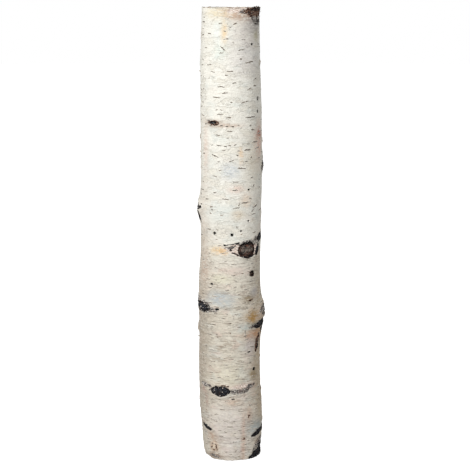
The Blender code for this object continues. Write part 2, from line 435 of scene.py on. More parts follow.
def side_relief(bearing, height):
    """How far the bark stands off the plain stem in millimetres, and the depth inside each kind of mark."""
    places = side_places(bearing, MEAN_RADIUS, height)
    ragged = noise_at(places, (5, 5, 2.2)) + 0.6 * noise_at(places, (1.9, 1.9, 1.1), 7.3)
    wandering = noise_at(places, (13, 13, 7), 4.4)
    depths = mark_depths(bearing, height)
    for kind in KINDS:
        depths[kind] += EDGE_RAGGED_MM[kind] * (ragged + 0.6 * wandering)
    wrinkled = 0.35 + 0.65 * smooth_step(0.36, 0.22, height)
    relief = BARK_SET_BACK_MM - 0.8 * smooth_step(0.56, 0.61, height)
    relief += 0.55 * noise_at(places, (34, 34, 22), 3.1) + 0.26 * noise_at(places, (15, 15, 8), 1.7)
    relief += 0.13 * noise_at(places, (7, 7, 3.4), 2.3)
    relief += wrinkled * (0.22 * noise_at(places, (24, 24, 3.6), 5.2) + 0.12 * noise_at(places,
                                                                                        (12, 12, 2.2), 9.9))

    lumps = noise_at(places, (3.4, 3.4, 2.6), 13.7)
    grit = noise_at(places, (1.5, 1.5, 1.2), 21.1)
    fibres = noise_at(places, (2.0, 2.0, 7.0), 31.9)
    scar = np.max([depths[kind] for kind in ("crackle", "crust", "heart")], axis=0)
    relief += 0.55 * np.exp(-((scar + 1.7) / 1.5) ** 2)
    relief -= 0.45 * smooth_step(0, 0.6, depths["inner"])
    relief += smooth_step(-0.1, 0.7, depths["crackle"]) * (0.15 + 0.75 * lumps + 0.35 * grit)
    relief += smooth_step(-0.1, 0.9, depths["crust"]) * (-0.75 + 0.95 * lumps + 0.5 * grit)
    relief += smooth_step(-0.1, 0.8, depths["fibre"]) * (0.25 + 0.8 * fibres + 0.35 * grit)
    hollow = smooth_step(0, 1.6, depths["heart"])
    stub = smooth_step(1.6, 8.0, depths["heart"])
    splits = noise_at(places, (2.2, 2.2, 5.5), 17.9)
    relief += hollow * (-2.6 + 0.8 * lumps + 0.5 * grit) + stub * (1.9 + 1.0 * splits + 0.5 * lumps)
    relief -= 4.0 * smooth_step(-0.15, 0.55, depths["hole"])
    return relief, depths


def rim_wear(height, places):
    """Millimetres that the rims' upper and lower edges are worn back by the saw."""
    to_end = np.minimum(height, LENGTH - height) / MM
    chips = np.clip(noise_at(places, (4.5, 4.5, 60), 41.0), 0, 1) * 1.1
    return -chips * np.exp(-to_end / 1.3)


def torn_rim(places, height, ring, at_top):
    """Millimetres that the bark's edge stands above or below the saw cut. At the foot it only falls short."""
    torn = 1.9 * noise_at(places, (15, 15, 900), 71.0) + 1.1 * noise_at(places, (4, 4, 900), 77.0)
    reach = smooth_step(0.90, 0.98, ring) * np.exp(-np.minimum(height, LENGTH - height) / MM / 2.5)
    return np.where(at_top, torn * 0.9, np.abs(torn) * 0.8) * reach


def cap_relief(ring, places):
    """Millimetres that an end face rises over its flat cut: saw lines, rings, a sunken pith and the bark's
    edge.
    """
    saw = 0.05 * np.sin(places[:, 0] / MM * 2.6 + 0.9 * noise_at(places, (30, 30, 30)))
    rings = 0.05 * np.sin(ring * 150)
    bark_edge = 0.35 * noise_at(places, (2.2, 2.2, 9), 51.0) * smooth_step(0.92, 0.97, ring)
    pith = -0.8 * smooth_step(0.06, 0.0, ring)
    dip = -0.35 - 0.05 * np.abs(noise_at(places, (9, 9, 9), 61.0))
    return (saw + rings + bark_edge + pith) * 0.8 + dip * (ring < 0.999)


def shape_stem(bm):
    """Final places of the cage's vertices, and the values that its materials read at each."""
    layer = bm.verts.layers.float["ring"]
    ring = np.array([vert[layer] for vert in bm.verts])
    cage = np.array([vert.co for vert in bm.verts])
    bearing, height = bearings_of(cage), cage[:, 2]
    outline = PLAIN_STEM.radius(bearing, height + LOW.z)
    relief, depths = side_relief(bearing, height)
    relief += rim_wear(height, cage)
    radius = (outline + relief * MM) * ring
    places = side_places(bearing, radius, height + LOW.z)
    on_cap = ring < 0.9999
    at_top = height > LENGTH / 2
    rise = cap_relief(ring, places) * MM
    places[:, 2] += np.where(on_cap, np.where(at_top, rise, -rise), 0)
    places[:, 2] += torn_rim(cage, height, ring, at_top) * MM
    values = {kind: np.clip(0.5 + depths[kind] / 2.4, 0, 1) for kind in KINDS}
    values["rough"] = np.where(on_cap, 0, np.maximum(values["crust"], values["crackle"] - 0.12))
    # middle weights the crust's painted sheen towards the middle of each black mark.
    values["middle"] = smooth_step(1, 5, depths["crust"]) * smooth_step(9.5, 7.5, depths["crust"])
    values["knot"] = np.clip(depths["heart"] / 9, 0, 1)
    values["rim"] = np.exp(-np.minimum(height, LENGTH - height) / MM / 1.4) * smooth_step(0.9, 0.98, ring)
    values["ring"] = ring
    return places, bearing, height, values


def wash_colours(bearing, height):
    """A colour and strength at each point, from the soft stains laid over each other in order."""
    colour, cover = np.zeros((len(bearing), 3)), np.zeros(len(bearing))
    for at, high, wide, tall, tint, strength in WASHES:
        across = turn_between(bearing, at) * DEGREE_MM / wide
        up = (height / MM - high) / tall
        share = strength * np.exp(-0.5 * (across**2 + up**2) ** 1.3)
        total = share + cover * (1 - share)
        weight = (share / np.maximum(total, 1e-6))[:, None]
        colour = colour * (1 - weight) + np.array(tint) * weight
        cover = total
    return np.concatenate([colour, cover[:, None]], axis=1)


def add_values(mesh, values):
    """Writes each named array to the mesh as a value on every vertex."""
    for name, array in values.items():
        mesh.attributes.new(name, "FLOAT", "POINT").data.foreach_set("value", array.astype(np.float32))


def add_stem_map(mesh, bearing, height, ring):
    """A map for baking: the bark as two strips, each half the stem's height, and the ends beside them."""
    layer = mesh.uv_layers.new(name="OFBake")
    strip_wide, strip_tall, end_size = 0.425, 0.98, 0.062
    corners = np.empty(len(mesh.loops), int)
    mesh.loops.foreach_get("vertex_index", corners)
    starts = np.array([polygon.loop_start for polygon in mesh.polygons])
    totals = np.array([polygon.loop_total for polygon in mesh.polygons])
    face_of = np.repeat(np.arange(len(starts)), totals)
    mean_height = np.add.reduceat(height[corners], starts) / totals
    mean_ring = np.add.reduceat(ring[corners], starts) / totals
    share_round = (bearing[corners] + 180) / 360
    least = np.minimum.reduceat(share_round, starts)[face_of]
    share_round = np.where((least < 0.25) & (share_round > 0.75), share_round - 1, share_round)
    upper = (mean_height > LENGTH / 2)[face_of]
    on_end = (mean_ring < 0.9999)[face_of]
    u = 0.012 + share_round * strip_wide + upper * (strip_wide + 0.012)
    v = 0.01 + (height[corners] / LENGTH * 2 - upper) * strip_tall
    angle = np.radians(bearing[corners])
    end_u = 0.935 + np.sin(angle) * ring[corners] * end_size
    end_v = 0.12 + 0.2 * upper - np.cos(angle) * ring[corners] * end_size
    layer.data.foreach_set("uv", np.stack([np.where(on_end, end_u, u), np.where(on_end, end_v, v)],
                                          1).ravel())


def finish_piece(piece, replaces=None):
    """Puts a finished piece on the stem's body, and hides the imported part that it replaces."""
    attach(piece, BODY)
    if replaces:
        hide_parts(replaces)


def object_from(name, mesh):
    piece = bpy.data.objects.new(name, mesh)
    bpy.context.scene.collection.objects.link(piece)
    return piece


# ---------------------------------------------------------------------------------------------------------
# Shader building


def add(tree, kind, inputs=None, **settings):
    """Adds a node. inputs maps a socket's name or number to a value or to another node's output."""
    node = tree.nodes.new(kind)
    for name, value in settings.items():
        setattr(node, name, value)
    for key, value in (inputs or {}).items():
        if isinstance(value, bpy.types.NodeSocket):
            tree.links.new(value, node.inputs[key])
        else:
            node.inputs[key].default_value = value
    return node


def calc(tree, operation, *values, clamp=False):
    return add(tree, "ShaderNodeMath", dict(enumerate(values)), operation=operation,
               use_clamp=clamp).outputs[0]


def rise(tree, value, low, high, to_low=0.0, to_high=1.0):
    """A smooth step of a value from low to high."""
    inputs = {"Value": value, "From Min": low, "From Max": high, "To Min": to_low, "To Max": to_high}
    return add(tree, "ShaderNodeMapRange", inputs, interpolation_type="SMOOTHSTEP").outputs["Result"]


def blend(tree, share, first, second, mode="MIX"):
    """One colour laid over another by a share."""
    inputs = {0: share, 6: first, 7: second}
    return add(tree, "ShaderNodeMix", inputs, data_type="RGBA", blend_type=mode).outputs[2]


def grain(tree, vector, size_mm, stretch=(1, 1, 1), detail=3.0, rough=0.55, bend=0.0):
    """Noise from 0 to 1 whose grains are size_mm wide, squeezed by stretch along each axis."""
    moved = add(tree, "ShaderNodeMapping", {"Vector": vector, "Scale": stretch}).outputs["Vector"]
    inputs = {"Vector": moved, "Scale": 1 / (size_mm * MM), "Detail": detail, "Roughness": rough,
              "Distortion": bend}
    return add(tree, "ShaderNodeTexNoise", inputs).outputs["Fac"]


def colour(value):
    return (*value, 1.0)


def value_of(tree, name):
    return add(tree, "ShaderNodeAttribute", attribute_name=name).outputs["Fac"]


def new_group(name, inputs, outputs):
    """An empty shader node group with named sockets, and its input and output nodes."""
    group = bpy.data.node_groups.new(name, "ShaderNodeTree")
    for label, kind, default in inputs:
        socket = group.interface.new_socket(label, in_out="INPUT", socket_type=kind)
        if default is not None:
            socket.default_value = default
    for label, kind in outputs:
        group.interface.new_socket(label, in_out="OUTPUT", socket_type=kind)
    return group, group.nodes.new("NodeGroupInput").outputs, group.nodes.new("NodeGroupOutput").inputs


def use_group(tree, group, inputs):
    """Places a node group in a tree and returns its outputs."""
    return add(tree, "ShaderNodeGroup", inputs, node_tree=group).outputs


FLOAT, COLOUR, VECTOR = "NodeSocketFloat", "NodeSocketColor", "NodeSocketVector"


def bark_streaks_group():
    """Thin level lines and freckles, as in birch paper: a mask of dark lines and a height for bump."""
    group, given, result = new_group(
        "Bark Streaks",
        (("Vector", VECTOR, None), ("Amount", FLOAT, 0.5)),
        (("Lines", FLOAT), ("Freckles", FLOAT), ("Height", FLOAT)),
    )
    vector, amount = given["Vector"], given["Amount"]
    long_lines = grain(group, vector, 15, (1, 1, 9.5), 2.5, 0.55, 0.25)
    short_lines = grain(group, vector, 6.5, (1, 1, 6.5), 2.0, 0.5, 0.2)
    patchy = grain(group, vector, 30, (1, 1, 2), 2.0)
    edge = calc(group, "SUBTRACT", 0.72, calc(group, "MULTIPLY", amount, 0.14))
    edge = calc(group, "SUBTRACT", edge, calc(group, "MULTIPLY", calc(group, "SUBTRACT", patchy, 0.5), 0.3))
    long_mask = rise(group, calc(group, "SUBTRACT", long_lines, edge), 0.0, 0.07)
    short_mask = rise(group, calc(group, "SUBTRACT", short_lines, calc(group, "ADD", edge, 0.03)), 0.0, 0.06)
    lines = calc(group, "MAXIMUM", long_mask, calc(group, "MULTIPLY", short_mask, 0.8))
    freckle = grain(group, vector, 1.1, (1, 1, 1.5), 2.0)
    group.links.new(lines, result["Lines"])
    group.links.new(rise(group, freckle, 0.66, 0.76), result["Freckles"])
    relief = calc(group, "ADD", calc(group, "MULTIPLY", long_lines, 0.7),
                  calc(group, "MULTIPLY", short_lines, 0.4))
    relief = calc(group, "SUBTRACT", relief, calc(group, "MULTIPLY", lines, 0.35))
    group.links.new(relief, result["Height"])
    return group


def ragged_edge_group():
    """Turns a soft value into a mask with a crisp ragged edge."""
    group, given, result = new_group(
        "Ragged Edge",
        (("Value", FLOAT, 0.0), ("Vector", VECTOR, None), ("Raggedness", FLOAT, 0.3),
         ("Softness", FLOAT, 0.06)),
        (("Mask", FLOAT),),
    )
    tatters = grain(group, given["Vector"], 1.6, (1, 1, 1.7), 4.0, 0.65)
    shift = calc(group, "MULTIPLY", calc(group, "SUBTRACT", tatters, 0.5), given["Raggedness"])
    torn = calc(group, "ADD", given["Value"], shift)
    low = calc(group, "SUBTRACT", 0.5, given["Softness"])
    high = calc(group, "ADD", 0.5, given["Softness"])
    group.links.new(rise(group, torn, low, high), result["Mask"])
    return group


def crust_colour_group():
    """The colour and height of dead black cork: cracked plates, a painted grey-blue sheen on the plates towards
    the middle, painted pale highlight specks and rusty spots.
    """
    group, given, result = new_group(
        "Crust Colour",
        (("Vector", VECTOR, None), ("Middle", FLOAT, 0.0), ("Dark", COLOUR, (0.005, 0.005, 0.006, 1)),
         ("Painted Sheen", COLOUR, (0.055, 0.065, 0.085, 1)), ("Rust", COLOUR, (0.085, 0.032, 0.02, 1)),
         ("Painted Highlight", COLOUR, (0.42, 0.40, 0.38, 1))),
        (("Colour", COLOUR), ("Height", FLOAT)),
    )
    vector = given["Vector"]
    drift = add(group, "ShaderNodeTexNoise",
                {"Vector": vector, "Scale": 260.0, "Detail": 3.0}).outputs["Color"]
    drift = add(group, "ShaderNodeVectorMath", {0: drift, 3: 0.0055}, operation="SCALE").outputs[0]
    warped = add(group, "ShaderNodeVectorMath", {0: vector, 1: drift}, operation="ADD").outputs[0]
    warped = add(group, "ShaderNodeMapping", {"Vector": warped, "Scale": (1, 1, 1.5)}).outputs["Vector"]
    cells = add(group, "ShaderNodeTexVoronoi", {"Vector": warped, "Scale": 290.0}, feature="DISTANCE_TO_EDGE")
    plates = rise(group, cells.outputs["Distance"], 0.0, 0.09)
    cloud = grain(group, vector, 4.0, (1, 1, 1.7), 4.0, 0.62)
    # Painted grey-blue sheen, lightest towards the middle of the crust and only on the plates, not in their
    # cracks.
    painted_sheen = rise(group, calc(group, "MULTIPLY_ADD", given["Middle"], 0.16, cloud), 0.52, 0.70)
    rust = rise(group, grain(group, vector, 3.4, (1, 1, 1.5), 3.0, 0.6, 0.4), 0.56, 0.66)
    flecks = rise(group, grain(group, vector, 1.1, (1, 1, 1.6), 3.0, 0.7), 0.36, 0.62)
    painted_sheen = calc(group, "MULTIPLY", painted_sheen, calc(group, "MULTIPLY_ADD", flecks, 0.75, 0.25))
    tone = blend(group, calc(group, "MULTIPLY", painted_sheen, plates), given["Dark"], given["Painted Sheen"])
    tone = blend(group, calc(group, "MULTIPLY", rust, flecks), tone, given["Rust"])
    # Pale specks on the crust: painted highlights.
    pale = rise(group, grain(group, vector, 1.7, (1, 1, 1.7), 2.0, 0.6, 0.3), 0.665, 0.70)
    tone = blend(group, pale, tone, given["Painted Highlight"])
    group.links.new(tone, result["Colour"])
    fine = grain(group, vector, 0.9, (1, 1, 1), 3.0)
    group.links.new(calc(group, "ADD", plates, calc(group, "MULTIPLY", fine, 0.6)), result["Height"])
    return group


def curly_lines_group():
    """Looping black lines, as where thin layers of bark tear round a scar, and the paper between them."""
    group, given, result = new_group(
        "Curly Lines",
        (("Vector", VECTOR, None), ("Paper", COLOUR, (0.74, 0.69, 0.63, 1)),
         ("Shadow", COLOUR, (0.25, 0.2, 0.18, 1)),
         ("Line", COLOUR, (0.014, 0.012, 0.012, 1))),
        (("Colour", COLOUR), ("Height", FLOAT)),
    )
    vector = given["Vector"]
    wide = grain(group, vector, 4.2, (1, 1, 1.7), 2.5, 0.5, 0.9)
    narrow = grain(group, vector, 2.1, (1, 1, 1.5), 2.0, 0.5, 0.7)
    wide_line = rise(group, calc(group, "ABSOLUTE", calc(group, "SUBTRACT", wide, 0.49)), 0.042, 0.016)
    narrow_line = rise(group, calc(group, "ABSOLUTE", calc(group, "SUBTRACT", narrow, 0.52)), 0.035, 0.012)
    lines = calc(group, "MAXIMUM", wide_line, calc(group, "MULTIPLY", narrow_line, 0.8))
    paper = blend(group, rise(group, wide, 0.38, 0.5), given["Shadow"], given["Paper"])
    group.links.new(blend(group, lines, paper, given["Line"]), result["Colour"])
    group.links.new(calc(group, "SUBTRACT", wide, lines), result["Height"])
    return group


def object_vector(tree):
    return add(tree, "ShaderNodeTexCoord").outputs["Object"]


def start_material(name):
    """A material with an empty tree, its Principled shader and its output."""
    material = bpy.data.materials.new(name)
    material.use_nodes = True
    tree = material.node_tree
    tree.nodes.clear()
    shader = add(tree, "ShaderNodeBsdfPrincipled")
    add(tree, "ShaderNodeOutputMaterial", {"Surface": shader.outputs["BSDF"]})
    return material, tree, shader


def bump(tree, height, distance_mm, strength, normal=None):
    inputs = {"Height": height, "Distance": distance_mm * MM, "Strength": strength}
    if normal is not None:
        inputs["Normal"] = normal
    return add(tree, "ShaderNodeBump", inputs).outputs["Normal"]


def connect(tree, output, shader, name):
    tree.links.new(output, shader.inputs[name])


def bark_paper(tree, vector, looks):
    """Colour and height of the unmarked paper: cream above, warmer and darker below (partly the bark's tone,
    partly painted shade), clouded, flaked and lined.
    """
    height = add(tree, "ShaderNodeSeparateXYZ", {"Vector": vector}).outputs["Z"]
    clouds = grain(tree, vector, 62, (1, 1, 1.3), 3.0)
    # lowness warms and darkens the paper towards the foot: partly the bark's own tone, partly painted shade
    # where the light falls off lower down.
    lowness = calc(tree, "ADD", rise(tree, height, 0.36, 0.19), calc(tree, "SUBTRACT", clouds, 0.5),
                   clamp=True)
    tone = blend(tree, lowness, colour(looks.paper_upper), colour(looks.paper_lower))
    cool = rise(tree, grain(tree, vector, 24, (1, 1, 1.5), 3.5, 0.55, 0.3), 0.52, 0.66)
    tone = blend(tree, calc(tree, "MULTIPLY", cool, 0.4), tone, (0.66, 0.70, 0.66, 1))
    blush = rise(tree, grain(tree, add_offset(tree, vector, 0.31), 17, (1, 1, 1.8), 3.5, 0.55, 0.4), 0.52,
                 0.68)
    pink = calc(tree, "MULTIPLY", blush, calc(tree, "MULTIPLY_ADD", lowness, 0.4, 0.12))
    tone = blend(tree, pink, tone, colour(looks.paper_blush))

    flakes = grain(tree, add_offset(tree, vector, 0.17), 21, (1, 1, 2.4), 6.0, 0.62, 0.5)
    flaked = rise(tree, flakes, 0.53, 0.545)
    tone = blend(tree, calc(tree, "MULTIPLY", flaked, 0.4), tone, colour(looks.paper_under))
    torn_edge = rise(tree, calc(tree, "ABSOLUTE", calc(tree, "SUBTRACT", flakes, 0.537)), 0.012, 0.0)
    torn_here = calc(tree, "MULTIPLY", torn_edge, rise(tree, clouds, 0.47, 0.6, 0.0, 0.3))
    tone = blend(tree, torn_here, tone, (0.34, 0.27, 0.21, 1))

    coarse = grain(tree, vector, 8, (1, 1, 2.6), 3.0, 0.6)
    middle = grain(tree, add_offset(tree, vector, 0.53), 3.4, (1, 1, 2.2), 3.0, 0.6)
    fine = grain(tree, vector, 1.3, (1, 1, 1.6), 2.0)
    shade = calc(tree, "MULTIPLY_ADD", middle, 1.2,
                 calc(tree, "ADD", coarse, calc(tree, "MULTIPLY", fine, 0.6)))
    # A darker floor to the shading grains towards the foot: partly painted shade.
    shade = rise(tree, shade, 0.75, 2.0, calc(tree, "MULTIPLY_ADD", lowness, -0.06, 0.84), 1.12)
    tone = blend(tree, 1.0, tone, grey(tree, shade), "MULTIPLY")

    amount = calc(tree, "MULTIPLY_ADD", lowness, 0.9, 0.1)
    streaks = use_group(tree, bpy.data.node_groups["Bark Streaks"], {"Vector": vector, "Amount": amount})
    strength = calc(tree, "MULTIPLY_ADD", lowness, 0.35, 0.22)
    tone = blend(tree, calc(tree, "MULTIPLY", streaks["Lines"], strength), tone, colour(looks.line_colour))
    tone = blend(tree, calc(tree, "MULTIPLY", streaks["Freckles"], 0.3), tone, (0.30, 0.24, 0.19, 1))
    relief = calc(tree, "MULTIPLY_ADD", flaked, -0.5, streaks["Height"])
    relief = calc(tree, "MULTIPLY_ADD", middle, 0.8, relief)
    return tone, relief


def grey(tree, value):
    """A value as a grey colour."""
    return add(tree, "ShaderNodeCombineColor", {"Red": value, "Green": value, "Blue": value}).outputs["Color"]


def add_offset(tree, vector, distance):
    """The same coordinates moved along, for a pattern that doesn't repeat another."""
    return add(tree, "ShaderNodeVectorMath", {0: vector, 1: (distance,) * 3}, operation="ADD").outputs[0]


def bark_material(looks):
    """Birch bark with all its marks, read from the values on the stem's vertices."""
    material, tree, shader = start_material("birch_bark")
    vector = object_vector(tree)
    ragged = bpy.data.node_groups["Ragged Edge"]

    def mask(name, raggedness=0.3, softness=0.06):
        inputs = {"Value": value_of(tree, name), "Vector": vector, "Raggedness": raggedness,
                  "Softness": softness}
        return use_group(tree, ragged, inputs)["Mask"]

    tone, relief = bark_paper(tree, vector, looks)
    wash = add(tree, "ShaderNodeAttribute", attribute_name="wash")
    mottle = rise(tree, grain(tree, vector, 6, (1, 1, 2.4), 5.0, 0.66, 0.4), 0.34, 0.56, 0.25, 1.0)
    wash_share = calc(tree, "MULTIPLY", wash.outputs["Alpha"], mottle)
    tone = blend(tree, wash_share, tone, wash.outputs["Color"])

    inner = mask("inner", 0.5)
    flesh = grain(tree, vector, 2.6, (1, 1, 2.6), 4.0, 0.65)
    inner_tone = blend(tree, rise(tree, flesh, 0.34, 0.6), colour(looks.inner_dark),
                       colour(looks.inner_light))
    tone = blend(tree, inner, tone, inner_tone)

    crackle = mask("crackle", 0.5, 0.05)
    crust = mask("crust", 0.32, 0.05)
    fibre = mask("fibre", 0.6, 0.08)
    heart = mask("heart", 0.25, 0.05)
    hole = mask("hole", 0.05, 0.12)
    black = use_group(tree, bpy.data.node_groups["Crust Colour"],
                      {"Vector": vector, "Middle": value_of(tree, "middle")})
    curly = use_group(tree, bpy.data.node_groups["Curly Lines"], {"Vector": vector})
    gaps = rise(tree, grain(tree, vector, 4.4, (1, 1, 1.6), 3.0, 0.6, 0.3), 0.60, 0.54)
    tone = blend(tree, calc(tree, "MULTIPLY", crackle, calc(tree, "MULTIPLY_ADD", gaps, 0.8, 0.2)), tone,
                 curly["Colour"])
    threads = grain(tree, vector, 2.6, (1, 1, 3.0), 4.0, 0.62, 0.5)
    fibre_tone = blend(tree, rise(tree, threads, 0.43, 0.55), colour(looks.fibre_dark),
                       colour(looks.fibre_light))
    fibre_tone = blend(tree, rise(tree, threads, 0.56, 0.61), fibre_tone, (0.58, 0.46, 0.36, 1))
    tone = blend(tree, fibre, tone, fibre_tone)
    tone = blend(tree, crust, tone, black["Colour"])
    knot = grain(tree, vector, 6.5, (1, 1, 1.5), 5.0, 0.68, 1.0)
    heart_tone = blend(tree, rise(tree, knot, 0.44, 0.55), colour(looks.heart_dark),
                       colour(looks.heart_light))
    knot_depth = value_of(tree, "knot")
    weathered = calc(tree, "MULTIPLY_ADD", knot_depth, 0.16,
                     grain(tree, vector, 3.0, (2.2, 2.2, 0.8), 4.0, 0.7, 0.6))
    heart_tone = blend(tree, rise(tree, weathered, 0.58, 0.70), heart_tone, colour(looks.heart_grey))
    # Dark at the knot's edge, round its hollow: partly the knot's own dark wood, partly painted shade inside
    # the hollow.
    lip = calc(tree, "MULTIPLY_ADD", knot, 1.1, knot_depth)
    heart_tone = blend(tree, rise(tree, lip, 0.62, 0.85), colour(looks.heart_dark), heart_tone)
    tone = blend(tree, heart, tone, heart_tone)
    # Holes painted near-black: painted shade inside them.
    tone = blend(tree, hole, tone, (0.006, 0.005, 0.004, 1))
    frayed = calc(tree, "MULTIPLY_ADD", grain(tree, vector, 3.5, (1, 1, 1), 4.0, 0.65), 1.0,
                  value_of(tree, "rim"))
    tone = blend(tree, rise(tree, frayed, 1.18, 1.34), tone, (0.20, 0.16, 0.13, 1))
    connect(tree, tone, shader, "Base Color")

    dead = calc(tree, "MAXIMUM", calc(tree, "MAXIMUM", crust, crackle), calc(tree, "MAXIMUM", heart, fibre))
    gloss = calc(tree, "MULTIPLY_ADD", grain(tree, vector, 4, (1, 1, 3), 2.0), 0.24, 0.44)
    connect(tree, blend_value(tree, dead, gloss, 0.78), shader, "Roughness")
    shader.inputs["Specular IOR Level"].default_value = 0.25
    paper_bump = bump(tree, relief, 0.9, 0.8)
    scar_height = blend_value(tree, crust, curly["Height"], black["Height"])
    rough_bump = bump(tree, calc(tree, "MULTIPLY", scar_height, dead), 0.8, 0.9, paper_bump)
    connect(tree, rough_bump, shader, "Normal")
    return material


def blend_value(tree, share, first, second):
    """One value laid over another by a share."""
    return add(tree, "ShaderNodeMix", {0: share, 2: first, 3: second}, data_type="FLOAT").outputs[0]


def drying_cracks(tree, vector, ring):
    """A mask of thin cracks that run out from near the pith, each to its own length."""
    place = add(tree, "ShaderNodeSeparateXYZ", {"Vector": vector}).outputs
    shake = calc(tree, "MULTIPLY", calc(tree, "SUBTRACT", grain(tree, vector, 7, (1, 1, 1), 2.0), 0.5),
                 2.6 * MM)
    cracks = None
    for bearing, start, end, width in DRYING_CRACKS:
        way = outward(bearing)
        along = calc(tree, "ADD", calc(tree, "MULTIPLY", place["X"], way.x),
                     calc(tree, "MULTIPLY", place["Y"], way.y))
        aside = calc(tree, "SUBTRACT", calc(tree, "MULTIPLY", place["X"], way.y),
                     calc(tree, "MULTIPLY", place["Y"], way.x))
        aside = calc(tree, "ABSOLUTE", calc(tree, "ADD", aside, shake))
        line = rise(tree, aside, width * MM, width * MM * 0.35)
        line = calc(tree, "MULTIPLY", line, rise(tree, along, 0.0, 1 * MM))
        span = calc(tree, "MULTIPLY", rise(tree, ring, start, start + 0.1), rise(tree, ring, end, end - 0.2))
        line = calc(tree, "MULTIPLY", line, span)
        cracks = line if cracks is None else calc(tree, "MAXIMUM", cracks, line)
    return cracks


def end_grain_material(looks):
    """Sawn birch: pale wood with rings and saw marks, a red-brown inner bark and a white outer edge."""
    material, tree, shader = start_material("birch_end_grain")
    vector = object_vector(tree)
    ring = value_of(tree, "ring")
    wander = calc(tree, "MULTIPLY", calc(tree, "SUBTRACT", grain(tree, vector, 24, (1, 1, 1), 1.0), 0.5),
                  0.07)
    wavy = calc(tree, "ADD", ring, wander)
    uneven = calc(tree, "MULTIPLY", calc(tree, "SINE", calc(tree, "MULTIPLY", wavy, 17.0)), 0.9)
    turns = calc(tree, "MULTIPLY_ADD", wavy, looks.ring_count, uneven)
    phase = calc(tree, "FRACT", turns)
    late = calc(tree, "MULTIPLY", rise(tree, phase, 0.40, 0.93), rise(tree, phase, 1.0, 0.95))
    late = calc(tree, "MULTIPLY", late, rise(tree, grain(tree, vector, 9, (1, 1, 1), 2.0), 0.3, 0.6, 0.35,
                                             1.0))
    wood = blend(tree, grain(tree, vector, 17, (1, 1, 1), 3.0), colour(looks.wood_light),
                 colour(looks.wood_warm))
    wood = blend(tree, calc(tree, "MULTIPLY", late, 0.5), wood, colour(looks.wood_ring))
    warm_heart = rise(tree, calc(tree, "MULTIPLY_ADD", wander, 3.0, ring), 0.5, 0.16)
    wood = blend(tree, calc(tree, "MULTIPLY", warm_heart, 0.5), wood, (0.42, 0.26, 0.14, 1))
    wood = blend(tree, drying_cracks(tree, vector, ring), wood, (0.05, 0.032, 0.02, 1))
    pores = rise(tree, grain(tree, vector, 0.7, (1, 1, 0.05), 2.0), 0.6, 0.7)
    wood = blend(tree, calc(tree, "MULTIPLY", pores, 0.3), wood, (0.36, 0.24, 0.14, 1))
    saw = add(tree, "ShaderNodeTexWave", {"Vector": vector, "Scale": 170.0, "Distortion": 1.4, "Detail": 2.0},
              wave_type="BANDS", bands_direction="X").outputs["Fac"]
    wood = blend(tree, calc(tree, "MULTIPLY", saw, 0.16), wood, (0.42, 0.32, 0.22, 1))
    soot = rise(tree, grain(tree, vector, 20, (1, 1, 1), 4.0, 0.6), 0.56, 0.74)
    wood = blend(tree, calc(tree, "MULTIPLY", soot, 0.3), wood, (0.34, 0.28, 0.23, 1))
    wood = blend(tree, rise(tree, ring, 0.05, 0.03), wood, (0.10, 0.05, 0.03, 1))
    bark_start = calc(tree, "ADD", 0.925, wander)
    phloem = rise(tree, ring, bark_start, calc(tree, "ADD", bark_start, 0.012))
    flecks = grain(tree, vector, 1.3, (1, 1, 0.4), 3.0, 0.6)
    tone = blend(tree, phloem, wood, blend(tree, flecks, colour(looks.phloem_dark),
                                           colour(looks.phloem_light)))
    tone = blend(tree, rise(tree, ring, 0.982, 0.99), tone, colour(looks.paper_upper))
    connect(tree, tone, shader, "Base Color")
    connect(tree, calc(tree, "MULTIPLY_ADD", flecks, 0.15, 0.66), shader, "Roughness")
    height = calc(tree, "ADD", calc(tree, "MULTIPLY", late, 0.4), calc(tree, "MULTIPLY", saw, 0.5))
    height = calc(tree, "ADD", height, calc(tree, "MULTIPLY", calc(tree, "MULTIPLY", flecks, phloem), 1.5))
    connect(tree, bump(tree, height, 0.25, 0.6), shader, "Normal")
    return material


def lenticel_material(looks):
    """Cork lips, cream on their shoulders and brown in the slit; the cream is partly the cork's own colour and
    partly a painted highlight.
    """
    material, tree, shader = start_material("lenticel_cork")
    vector = object_vector(tree)
    slit, tone_value = value_of(tree, "slit"), value_of(tree, "tone")
    paper, relief = bark_paper(tree, vector, looks)
    # The lips are lightened towards white: partly the cork's own pale colour, partly a painted highlight.
    lip = blend(tree, 0.6, paper, (0.90, 0.88, 0.82, 1))
    rub = grain(tree, vector, 1.4, (1, 1, 2.0), 3.0, 0.6)
    dark = blend(tree, tone_value, colour(looks.slit_pale), colour(looks.slit_dark))
    dark = blend(tree, rise(tree, rub, 0.5, 0.75), dark, (0.30, 0.23, 0.17, 1))
    beads = grain(tree, vector, 2.4, (1, 1, 1), 2.0)
    opening = rise(tree, calc(tree, "MULTIPLY_ADD", calc(tree, "SUBTRACT", beads, 0.5), 1.6, slit), 0.38,
                   0.58)
    connect(tree, blend(tree, opening, lip, dark), shader, "Base Color")
    shader.inputs["Roughness"].default_value = 0.72
    shader.inputs["Specular IOR Level"].default_value = 0.3
    connect(tree, bump(tree, relief, 0.3, 0.4), shader, "Normal")
    return material


def crust_material():
    """Loose crumbs of the black crust, with a fainter painted sheen; some crumbs are painted pale as
    highlights.
    """
    material, tree, shader = start_material("crust_crumb")
    black = use_group(tree, bpy.data.node_groups["Crust Colour"], {
        "Vector": object_vector(tree), "Dark": (0.007, 0.006, 0.006, 1), "Painted Sheen": (0.05, 0.05, 0.055, 1),
        "Rust": (0.09, 0.04, 0.028, 1)})
    # Pale crumbs are painted highlights.
    connect(tree, blend(tree, value_of(tree, "pale"), black["Colour"], (0.66, 0.60, 0.53, 1)), shader,
            "Base Color")
    shader.inputs["Roughness"].default_value = 0.85
    connect(tree, bump(tree, black["Height"], 0.3, 0.6), shader, "Normal")
    return material


